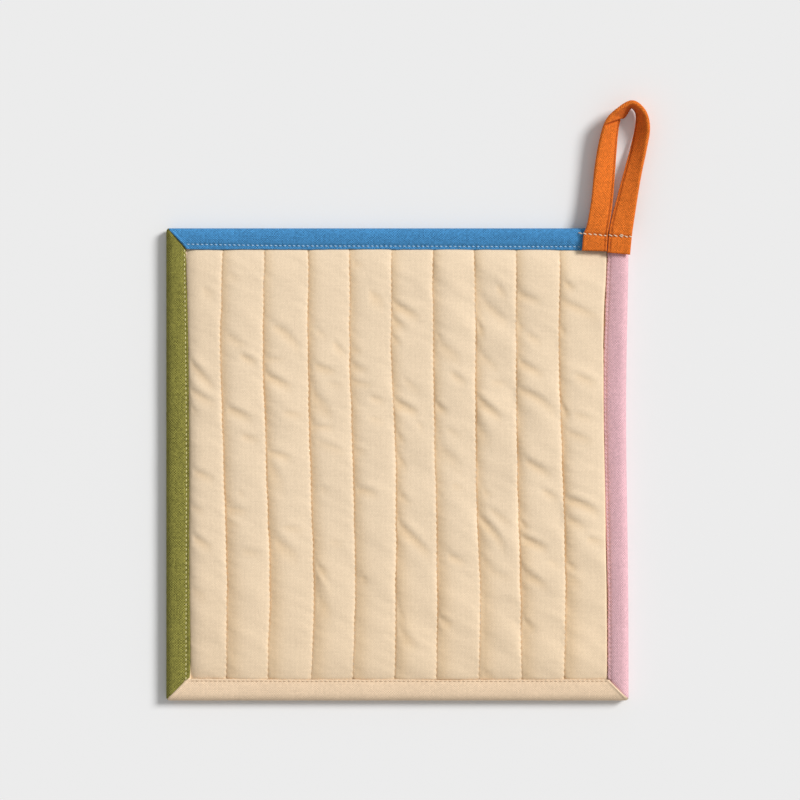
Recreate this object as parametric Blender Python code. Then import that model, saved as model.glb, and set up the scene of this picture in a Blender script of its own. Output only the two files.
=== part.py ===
"""Quilted pot holder, lying on its back.

A padded square is sewn through by nine lengthwise seams into ten channels. Its four edges are wrapped in
folded binding strips that meet in mitres, and a folded tape makes a hanging loop at the top right corner.
Every piece is a row of closed section outlines joined into one solid. Sizes are in metres, +Z up; the
pieces are laid out from the square's centre, and an empty carries them so that the origin ends under the
middle of the whole pot holder, loop included.
"""

import math

import bmesh
import bpy
import numpy as np

MM = 0.001

# The square, from outer edge to outer edge of its bindings.
SQUARE_WIDTH = 211.5 * MM
SQUARE_LENGTH = 216.0 * MM
HALF_WIDTH = SQUARE_WIDTH / 2
HALF_LENGTH = SQUARE_LENGTH / 2

# Pieces that touch in the real thing stay this far apart.
GAP = 0.3 * MM

# Bindings: a strip folded round the edge, with a layer in front, a rounded fold and a layer behind.
BINDING_WIDTH = 10.5 * MM
BINDING_WALL = 1.2 * MM
BINDING_BACK = 0.3 * MM
BINDING_FRONT = 6.7 * MM
BINDING_FOLD = 3.2 * MM
BINDING_FOLD_POINTS = 5
BINDING_LIP_DIP = 0.1 * MM
BINDING_STATIONS = 9
# The fold's corners: 1 for a quarter ellipse, and less for a squarer one.
OUTSIDE_SQUARENESS = 1.0
INSIDE_SQUARENESS = 0.7

# The right edge is drawn in by this much, most at this part of the way up.
RIGHT_EDGE_BOW = 1.1 * MM
BOW_HEIGHT = 0.61

# The panel: thin where the binding and the seams hold it, crowned between them. Across a channel the
# front rises as (1 - |t| ^ CROWN_FLATNESS) ^ CROWN_SHOULDER, with t from -1 to 1 between its seams.
CROWN_FLATNESS = 2.4
CROWN_SHOULDER = 0.7
BACK_PRESSING = 1.25
HELD_FRONT = BINDING_FRONT - BINDING_WALL - GAP
HELD_BACK = BINDING_BACK + BINDING_WALL + GAP
SEAM_FRONT = 4.9 * MM
SEAM_BACK = 1.9 * MM
EDGE_INSET = BINDING_WALL + GAP + 0.5 * MM
EDGE_ROUNDING = 2.0 * MM
PANEL_LIP = BINDING_WIDTH + GAP
END_TAPER = 14.0 * MM

# Where the seams cross five heights of the square, measured from its centre, and how high the channel
# on each seam's left stands above the table.
SEAM_HEIGHTS_MM = (96.0, 50.0, 0.0, -60.0, -96.0)
SEAMS_MM = (
    # seam, top, upper, middle, lower, bottom, crown of the channel to its left
    ("seam_1", -80.0, -81.0, -79.5, -78.0, -78.5, 8.0),
    ("seam_2", -61.0, -61.5, -60.0, -58.5, -59.5, 8.6),
    ("seam_3", -41.0, -41.0, -40.0, -38.5, -39.5, 8.7),
    ("seam_4", -22.0, -22.0, -20.5, -19.5, -20.5, 8.6),
    ("seam_5", -3.0, -3.0, -1.0, -1.0, -1.5, 8.8),
    ("seam_6", 16.0, 16.0, 17.0, 18.0, 17.5, 8.7),
    ("seam_7", 35.0, 35.5, 35.5, 37.5, 37.0, 8.8),
    ("seam_8", 54.0, 54.0, 54.5, 56.0, 56.5, 8.7),
    ("seam_9", 74.0, 73.5, 75.0, 76.5, 76.0, 8.8),
)
LAST_CROWN_MM = 8.6

# Places across a channel, from seam to seam, where its outline has a point.
ACROSS_CHANNEL = (0.0, 0.08, 0.25, 0.5, 0.75, 0.92)
# Rows of the panel's grid, as distances from the middle of the square, up to the binding's lip.
ROWS_MM = (0.0, 25.0, 50.0, 75.0, 84.0, 91.0, 95.0)

# The hanging loop's tape.
TAPE_THICKNESS = 2.0 * MM
TAPE_STEPS = 4
# Its section, as (place across the width, part of the half thickness), flat with rounded edges.
TAPE_OUTLINE = (
    (0.0, 0.0), (0.03, 0.7), (0.1, 1.0), (0.5, 1.0), (0.9, 1.0), (0.97, 0.7),
    (1.0, 0.0), (0.97, -0.7), (0.9, -1.0), (0.5, -1.0), (0.1, -1.0), (0.03, -0.7),
)
# Its two long edges at each station, from the left end over the top to the right end, measured from
# the square's centre and up from the table. The inner edge is the one that faces the other leg.
TAPE_STATIONS_MM = (
    # station, inner x, inner y, inner z, outer x, outer y, outer z
    ("left end", 95.1, 97.4, 8.0, 84.5, 97.8, 8.0),
    ("left seam", 95.6, 104.6, 8.0, 85.2, 105.2, 8.0),
    ("leaves the binding", 96.3, 109.0, 7.8, 86.5, 109.5, 7.9),
    ("left leg low", 98.4, 121.0, 5.2, 88.5, 121.0, 7.2),
    ("left leg middle", 99.5, 134.5, 2.6, 90.0, 135.0, 7.0),
    ("left leg high", 100.4, 147.0, 1.6, 92.2, 147.5, 8.0),
    ("left shoulder", 101.7, 157.3, 1.4, 95.0, 156.2, 9.2),
    ("left of the top", 104.8, 160.2, 1.3, 100.2, 161.8, 10.3),
    ("top", 107.2, 163.6, 1.3, 107.0, 165.2, 11.0),
    ("right of the top", 109.6, 160.6, 1.3, 112.6, 161.0, 10.8),
    ("right shoulder", 109.2, 154.2, 1.4, 114.8, 153.6, 10.0),
    ("right leg high", 106.6, 144.5, 1.6, 114.4, 144.0, 8.6),
    ("right leg middle", 103.3, 133.0, 2.8, 112.2, 132.2, 7.6),
    ("right leg low", 99.8, 120.6, 5.4, 109.9, 119.6, 7.4),
    ("reaches the binding", 97.3, 109.0, 7.8, 107.5, 108.0, 7.9),
    ("right seam", 96.7, 104.6, 8.0, 107.0, 104.2, 8.0),
    ("right end", 96.0, 96.9, 8.0, 106.0, 96.0, 8.0),
)

# Edges sharper than this stay sharp in the smooth shading.
SHARP_FROM = math.radians(40)

# Linear colours of the cloths, and how rough woven cotton is.
CLOTH_ROUGHNESS = 0.9
COLOURS = {
    "cream": (0.82, 0.65, 0.44),
    "blue": (0.06, 0.24, 0.48),
    "green": (0.21, 0.195, 0.047),
    "pink": (0.74, 0.47, 0.50),
    "orange": (0.66, 0.15, 0.024),
}


def clear_scene():
    """Remove every object, so that the script can run from an open file."""
    for thing in list(bpy.data.objects):
        bpy.data.objects.remove(thing, do_unlink=True)


def cloth_material(colour_name):
    """One plain cloth finish in the named colour."""
    material = bpy.data.materials.new(f"{colour_name}_cloth")
    material.use_nodes = True
    shader = material.node_tree.nodes["Principled BSDF"]
    shader.inputs["Base Color"].default_value = (*COLOURS[colour_name], 1.0)
    shader.inputs["Roughness"].default_value = CLOTH_ROUGHNESS
    shader.inputs["Metallic"].default_value = 0.0
    return material


def solid_from_sections(name, sections, colour_name, parent):
    """Join a row of closed outlines into one solid with a flat cap at each end.

    sections holds one outline per row, all with the same number of points.
    """
    section_count, point_count, _ = sections.shape
    vertices = sections.reshape(-1, 3).tolist()
    faces = []
    for section in range(section_count - 1):
        here = section * point_count
        following = here + point_count
        for point in range(point_count):
            beside = (point + 1) % point_count
            faces.append((here + point, here + beside, following + beside, following + point))
    last = (section_count - 1) * point_count
    faces.append(tuple(range(point_count)))
    faces.append(tuple(range(last, last + point_count)))

    mesh = bpy.data.meshes.new(name)
    mesh.from_pydata(vertices, [], faces)
    shell = bmesh.new()
    shell.from_mesh(mesh)
    bmesh.ops.recalc_face_normals(shell, faces=shell.faces)
    shell.to_mesh(mesh)
    shell.free()
    mesh.shade_smooth()
    mesh.set_sharp_from_angle(angle=SHARP_FROM)
    mesh.materials.append(cloth_material(colour_name))

    thing = bpy.data.objects.new(name, mesh)
    bpy.context.scene.collection.objects.link(thing)
    thing.parent = parent
    return thing


def smooth_between(places, values, wanted):
    """Values at the wanted places, on smooth curves through the given ones (Catmull-Rom slopes).

    places rise from first to last; values may have several columns.
    """
    values = np.asarray(values, dtype=float)
    slopes = np.gradient(values, places, axis=0)
    left = np.clip(np.searchsorted(places, wanted, side="right") - 1, 0, len(places) - 2)
    span = places[left + 1] - places[left]
    part = (wanted - places[left]) / span
    shape = (-1,) + (1,) * (values.ndim - 1)
    part = part.reshape(shape)
    span = span.reshape(shape)
    return (
        (2 * part**3 - 3 * part**2 + 1) * values[left]
        + (part**3 - 2 * part**2 + part) * span * slopes[left]
        + (3 * part**2 - 2 * part**3) * values[left + 1]
        + (part**3 - part**2) * span * slopes[left + 1]
    )


def right_edge_bow(y):
    """How far the right edge is drawn in: a squared sine, nothing at the corners, most above the middle."""
    part = np.clip((y + HALF_LENGTH) / SQUARE_LENGTH, 0, 1)
    skewed = part ** (math.log(0.5) / math.log(BOW_HEIGHT))
    return RIGHT_EDGE_BOW * np.sin(math.pi * skewed) ** 2


def channel_lines(y):
    """X of the panel's lengthwise lines at each y: the left lip, the nine seams and the right lip."""
    heights = np.array(SEAM_HEIGHTS_MM[::-1]) * MM
    lip = np.full_like(y, HALF_WIDTH - PANEL_LIP)
    lines = [-lip]
    held = np.clip(y, heights[0], heights[-1])
    for row in SEAMS_MM:
        lines.append(smooth_between(heights, np.array(row[5:0:-1]) * MM, held))
    lines.append(lip - right_edge_bow(y))
    return np.stack(lines, axis=1)


def panel_rows():
    """Distances of the panel's section outlines from the middle, with its two held ends."""
    end = HALF_LENGTH - EDGE_INSET
    lip = HALF_LENGTH - PANEL_LIP
    upper = [row * MM for row in ROWS_MM[1:]] + [lip, end - EDGE_ROUNDING, end]
    return np.array([-row for row in upper[::-1]] + [ROWS_MM[0] * MM] + upper)


def build_panel(parent):
    """The padded square: a section outline at each row, the front from left to right and the back again.

    Between two seams the front is crowned, and it tapers to the binding's lip at both ends along a
    quarter circle. The back is the same but pressed flat on the table.
    """
    rows = panel_rows()
    lines = channel_lines(rows)
    lip = HALF_LENGTH - PANEL_LIP
    crowns = [row[6] * MM for row in SEAMS_MM] + [LAST_CROWN_MM * MM]

    # How full the padding is along the length, from the lip of one binding to that of the other.
    short_of_lip = np.clip((lip - np.abs(rows)) / END_TAPER, 0, 1)
    fullness = np.sqrt(1 - (1 - short_of_lip) ** 2)
    tucked = np.abs(rows) >= lip

    across = []
    front = []
    back = []

    def add_line(x, front_z, back_z):
        across.append(x)
        front.append(np.broadcast_to(front_z, rows.shape))
        back.append(np.broadcast_to(back_z, rows.shape))

    middle = (HELD_FRONT + HELD_BACK) / 2
    nose = (HELD_FRONT - HELD_BACK) / 4
    left_edge = np.full_like(rows, -HALF_WIDTH + EDGE_INSET)
    right_edge = HALF_WIDTH - EDGE_INSET - right_edge_bow(rows)
    add_line(left_edge, middle + nose, middle - nose)
    add_line(left_edge + EDGE_ROUNDING, HELD_FRONT, HELD_BACK)

    for channel, crown in enumerate(crowns):
        start = lines[:, channel]
        width = lines[:, channel + 1] - start
        start_front = HELD_FRONT if channel == 0 else SEAM_FRONT
        end_front = HELD_FRONT if channel == len(crowns) - 1 else SEAM_FRONT
        for part in ACROSS_CHANNEL:
            rise = (1 - abs(2 * part - 1) ** CROWN_FLATNESS) ** CROWN_SHOULDER
            base = start_front + (end_front - start_front) * part
            base_row = np.where(tucked, HELD_FRONT, base + (HELD_FRONT - base) * (1 - fullness))
            front_z = base_row + (crown - base_row) * rise * fullness
            pressed = min(1.0, rise * BACK_PRESSING) * np.minimum(1, fullness * BACK_PRESSING)
            back_z = np.where(tucked, HELD_BACK, SEAM_BACK * (1 - pressed))
            add_line(start + width * part, front_z, back_z)
    add_line(lines[:, -1], HELD_FRONT, HELD_BACK)
    add_line(right_edge - EDGE_ROUNDING, HELD_FRONT, HELD_BACK)
    add_line(right_edge, middle + nose, middle - nose)

    x = np.stack(across, axis=1)
    front_z = np.stack(front, axis=1)
    back_z = np.stack(back, axis=1)
    # The two outermost rows are thinned as the side edges are.
    for row in (0, -1):
        front_z[row] = middle + nose
        back_z[row] = middle - nose
    y = np.repeat(rows[:, None], x.shape[1], axis=1)
    upper = np.stack([x, y, front_z], axis=2)
    lower = np.stack([x, y, back_z], axis=2)[:, ::-1]
    solid_from_sections("quilted_panel", np.concatenate([upper, lower], axis=1), "cream", parent)


def binding_outline():
    """The folded strip's section as (distance in from the outer edge, height), all round its wall.

    The fold is a quarter ellipse in front and one behind, outside and inside; the inside one is
    squarer, so that the wall thins towards the outermost edge as a pressed fold does.
    """
    half = (BINDING_FRONT - BINDING_BACK) / 2
    turns = np.linspace(0, math.pi / 2, BINDING_FOLD_POINTS)

    def skin(fold, height, lip_height, squareness):
        around = fold * np.sin(turns) ** squareness
        above = height * np.cos(turns) ** squareness
        above[-1] = 0
        curve = np.stack([BINDING_FOLD - around, above], axis=1)
        front = np.concatenate([[[BINDING_WIDTH, lip_height]], curve])
        rear = front[::-1][1:] * (1, -1)
        return np.concatenate([front, rear])

    inner_half = half - BINDING_WALL
    outer = skin(BINDING_FOLD, half, half - BINDING_LIP_DIP, OUTSIDE_SQUARENESS)
    inner = skin(BINDING_FOLD - BINDING_WALL, inner_half, inner_half, INSIDE_SQUARENESS)
    outline = np.concatenate([outer, inner[::-1]])
    outline[:, 1] += (BINDING_FRONT + BINDING_BACK) / 2
    return outline


def build_binding(name, colour_name, parent, place, half_run):
    """One strip along one edge, its ends cut on the mitre.

    place turns (run, inward distance) arrays into x and y; half_run is half the edge's length.
    """
    outline = binding_outline()
    inward = outline[:, 0]
    cut = half_run - inward - GAP * math.sqrt(0.5)
    sections = []
    for part in np.linspace(-1, 1, BINDING_STATIONS):
        x, y = place(cut * part, inward)
        sections.append(np.stack([x, y, outline[:, 1]], axis=1))
    solid_from_sections(name, np.stack(sections), colour_name, parent)


def build_bindings(parent):
    """The four strips; the right one follows the drawn-in edge."""

    def top(run, inward):
        return run, HALF_LENGTH - inward

    def left(run, inward):
        return inward - HALF_WIDTH, run

    def bottom(run, inward):
        return run, inward - HALF_LENGTH

    def right(run, inward):
        return HALF_WIDTH - inward - right_edge_bow(run), run

    build_binding("binding_top", "blue", parent, top, HALF_WIDTH)
    build_binding("binding_left", "green", parent, left, HALF_LENGTH)
    build_binding("binding_bottom", "cream", parent, bottom, HALF_WIDTH)
    build_binding("binding_right", "pink", parent, right, HALF_LENGTH)


def build_loop(parent):
    """The hanging loop: a flat section with rounded edges, carried between the tape's two edges.

    At each station the width runs from the inner edge to the outer one, and the thickness stands
    square to it and to the tape's run, upwards at the left end.
    """
    edges = np.array([row[1:] for row in TAPE_STATIONS_MM]) * MM
    stations = np.arange(len(edges), dtype=float)
    wanted = np.linspace(0, len(edges) - 1, (len(edges) - 1) * TAPE_STEPS + 1)
    smooth = smooth_between(stations, edges, wanted)
    inner = smooth[:, :3]
    outer = smooth[:, 3:]

    run = np.gradient((inner + outer) / 2, axis=0)
    width = outer - inner
    square = np.cross(run, width)
    square *= np.sign(square[0, 2])
    square /= np.linalg.norm(square, axis=1, keepdims=True)

    sections = [
        inner + width * across + square * (TAPE_THICKNESS / 2 * lift) for across, lift in TAPE_OUTLINE
    ]
    solid_from_sections("hanging_loop", np.stack(sections, axis=1), "orange", parent)


def stand_on_origin(carrier):
    """Move the carrier so that the origin lies under the middle of the whole box."""
    corners = []
    for thing in carrier.children:
        points = np.empty(len(thing.data.vertices) * 3)
        thing.data.vertices.foreach_get("co", points)
        points = points.reshape(-1, 3)
        corners += [points.min(axis=0), points.max(axis=0)]
    low = np.min(corners, axis=0)
    high = np.max(corners, axis=0)
    carrier.location = (-(low[0] + high[0]) / 2, -(low[1] + high[1]) / 2, -low[2])


def main():
    clear_scene()
    carrier = bpy.data.objects.new("pot_holder", None)
    bpy.context.scene.collection.objects.link(carrier)
    build_panel(carrier)
    build_bindings(carrier)
    build_loop(carrier)
    stand_on_origin(carrier)


main()
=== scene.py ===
"""Quilted pot holder: the finish of every surface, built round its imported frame.

A padded cream panel is sewn through by nine lengthwise seams. Its edges are wrapped in a blue, a green,
a cream and a pink binding strip, and an orange tape makes a hanging loop at one corner. Lengths are in
metres, +Z up. Shapes are worked out from the middle of the square and then put where the frame has it.
"""

import math
from collections import namedtuple

import bpy
import numpy as np
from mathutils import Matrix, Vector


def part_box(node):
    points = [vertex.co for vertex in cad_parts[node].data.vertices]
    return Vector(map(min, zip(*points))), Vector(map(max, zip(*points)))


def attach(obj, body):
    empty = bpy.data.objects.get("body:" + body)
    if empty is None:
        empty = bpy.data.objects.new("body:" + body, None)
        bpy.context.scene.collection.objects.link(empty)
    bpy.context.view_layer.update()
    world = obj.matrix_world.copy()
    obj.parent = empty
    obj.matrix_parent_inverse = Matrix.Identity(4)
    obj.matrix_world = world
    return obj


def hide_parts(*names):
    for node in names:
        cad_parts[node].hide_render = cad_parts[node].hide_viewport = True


bl_info = {
    "name": "Quilted Pot Holder",
    "version": (1, 0, 0),
    "blender": (4, 5, 0),
    "location": "3D View > Sidebar > Pot Holder",
    "description": "Builds a quilted pot holder with bound edges and a hanging loop",
    "category": "Object",
}

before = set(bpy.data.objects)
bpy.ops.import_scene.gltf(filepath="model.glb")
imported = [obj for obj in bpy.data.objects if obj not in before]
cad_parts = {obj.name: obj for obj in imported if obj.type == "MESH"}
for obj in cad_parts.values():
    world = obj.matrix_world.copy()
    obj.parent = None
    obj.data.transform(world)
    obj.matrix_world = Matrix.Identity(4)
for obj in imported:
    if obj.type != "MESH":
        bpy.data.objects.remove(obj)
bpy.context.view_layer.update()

MM = 0.001
DEGREE = math.pi / 180

# Upward directions of stitches on the front and on the back.
FACINGS = ((0.0, 0.0, 1.0), (0.0, 0.0, -1.0))

# The floor, so little below the table's level that nothing lies in it.
FLOOR_SIDE = 3.0
FLOOR_LEVEL = -0.05 * MM

# The square, read from its bindings in the frame.
TOP_LOW, TOP_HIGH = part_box("binding_top")
BOTTOM_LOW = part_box("binding_bottom")[0]
LEFT_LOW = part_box("binding_left")[0]
CENTRE = np.array([(TOP_LOW.x + TOP_HIGH.x) / 2, (BOTTOM_LOW.y + TOP_HIGH.y) / 2, 0.0])
HALF_WIDTH = CENTRE[0] - LEFT_LOW.x
HALF_LENGTH = TOP_HIGH.y - CENTRE[1]
BINDING_WIDTH = TOP_HIGH.y - TOP_LOW.y
BINDING_FRONT = TOP_HIGH.z
BINDING_BACK = TOP_LOW.z
BINDING_MIDDLE = (BINDING_FRONT + BINDING_BACK) / 2
BINDING_RISE = (BINDING_FRONT - BINDING_BACK) / 2

# The right edge is drawn in by this much, most at this part of the way up.
RIGHT_EDGE_BOW = 1.1 * MM
BOW_HEIGHT = 0.61

# The outer corners are rounded by this much.
CORNER_RADIUS = 1.6 * MM

# The panel's edges, held between the bindings' two layers, and its taper towards its top and bottom ends.
HELD_FRONT = 4.2 * MM
HELD_BACK = 1.8 * MM
EDGE_INSET = 2.0 * MM
LIP_OVERHANG = 0.3 * MM
END_TAPER = 14.0 * MM
END_DROP = 1.8 * MM

# The panel's front lies this much lower at its top and bottom than half way, and lower still at the bottom.
DOMING = 1.3 * MM
LOW_END_DOMING = 0.5 * MM

# The channels' backs, which are pressed flat on the table, and the height of the seams between them.
CROWN_FLATNESS = 2.4
CROWN_SHOULDER = 0.7
BACK_PRESSING = 1.25
SEAM_BACK = 1.9 * MM

# The quilting stitches, their thread's radius and how much it rises in each of them, and the panel's rows,
# a whole number of them to each stitch.
QUILTING_PITCH = 2.8 * MM
QUILTING_STITCH = 0.8 * QUILTING_PITCH
QUILTING_THREAD, QUILTING_RISE = 0.17 * MM, 0.1 * MM
ROWS_PER_STITCH = 4
ROW_SPACING = QUILTING_PITCH / ROWS_PER_STITCH

# A hole between two stitches draws the cloth down over its own length and width, and a narrow furrow runs
# along the whole seam. A seam wanders from its line, and between its holes it bulges to the right.
HOLE_DEPTH = 0.5 * MM
HOLE_LENGTH = 0.55 * MM
HOLE_WIDTH = 0.5 * MM
FURROW_DEPTH, FURROW_FADE = 0.1 * MM, 0.35 * MM
SEAM_WANDER = 0.2 * MM
SEAM_SCALLOP = 0.22 * MM

# At five heights from the bottom up: how far the cloth drops from a channel's crown to the seam on its
# left, and where the seams run. A seam's row ends with the crown of the channel to its left.
HEIGHTS_MM = (-96.0, -60.0, 0.0, 50.0, 96.0)
DROPS_MM = (0.85, 1.35, 1.4, 1.15, 0.85)
SEAMS_MM = (
    # seam, bottom, lower, middle, upper, top, crown
    ("seam_1", -78.5, -78.0, -79.5, -81.0, -80.0, 8.0),
    ("seam_2", -59.5, -58.5, -60.0, -61.5, -61.0, 8.6),
    ("seam_3", -39.5, -38.5, -40.0, -41.0, -41.0, 8.7),
    ("seam_4", -20.5, -19.5, -20.5, -22.0, -22.0, 8.6),
    ("seam_5", -1.5, -1.0, -1.0, -3.0, -3.0, 8.8),
    ("seam_6", 17.5, 18.0, 17.0, 16.0, 16.0, 8.7),
    ("seam_7", 37.0, 37.5, 35.5, 35.5, 35.0, 8.8),
    ("seam_8", 56.5, 56.0, 54.5, 54.0, 54.0, 8.7),
    ("seam_9", 76.0, 76.5, 75.0, 73.5, 74.0, 8.8),
)
LAST_CROWN_MM = 8.6
CHANNELS = len(SEAMS_MM) + 1

# How far a drop to the left takes to fade, whether it leads to a seam or to the left lip, and the other
# drops from the crowns: to the left lip, to the seam on a channel's right, where the cloth bulges over
# the stitches, and to the right lip.
LEFT_FADE = 4 * MM
LEFT_LIP_DROP = 2.0 * MM
RIGHT_DROP, RIGHT_FADE = 0.5 * MM, 2.8 * MM
RIGHT_LIP_DROP, RIGHT_LIP_FADE = 1.0 * MM, 7 * MM

# The drag lines on the panel slant by this much, and are strongest within this distance of a seam.
DRAG_SLANT = 24 * DEGREE
DRAG_REACH = 4 * MM

# Painted shade on the panel, from 0 to 1: at the bottom of a crease as deep as half a millimetre, in a
# stitch hole, under a strip's lip, and a little all over towards the bottom.
CREASE_SHADE = 0.7
HOLE_SHADE = 0.55
LIP_SHADE = 0.6
BOTTOM_SHADE = 0.24

# The panel's edges are rounded over this much. It has this many extra rows between these heights, where
# its cloth goes under the top and bottom lips, and its back has one column for each so many of the front.
EDGE_ROUND = 2 * MM
LIP_ROWS = 10
LIP_ROW_HEIGHTS_MM = (96.6, 99.3)
FRONT_COLUMNS_PER_BACK = 9

# A crease's section, in its own breadths: how far its steep upper wall and its gentle lower one reach, and
# the swellings above and below it, each with its height, its distance from the trough and its spread.
UPPER_WALL, LOWER_WALL = 1.25, 2.6
SWELLINGS = ((0.45, 2.9, 1.8), (0.15, -5.4, 2.4))

# Creases are this deep for each unit of depth in the table.
CREASE_DEPTH = 0.88

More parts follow.
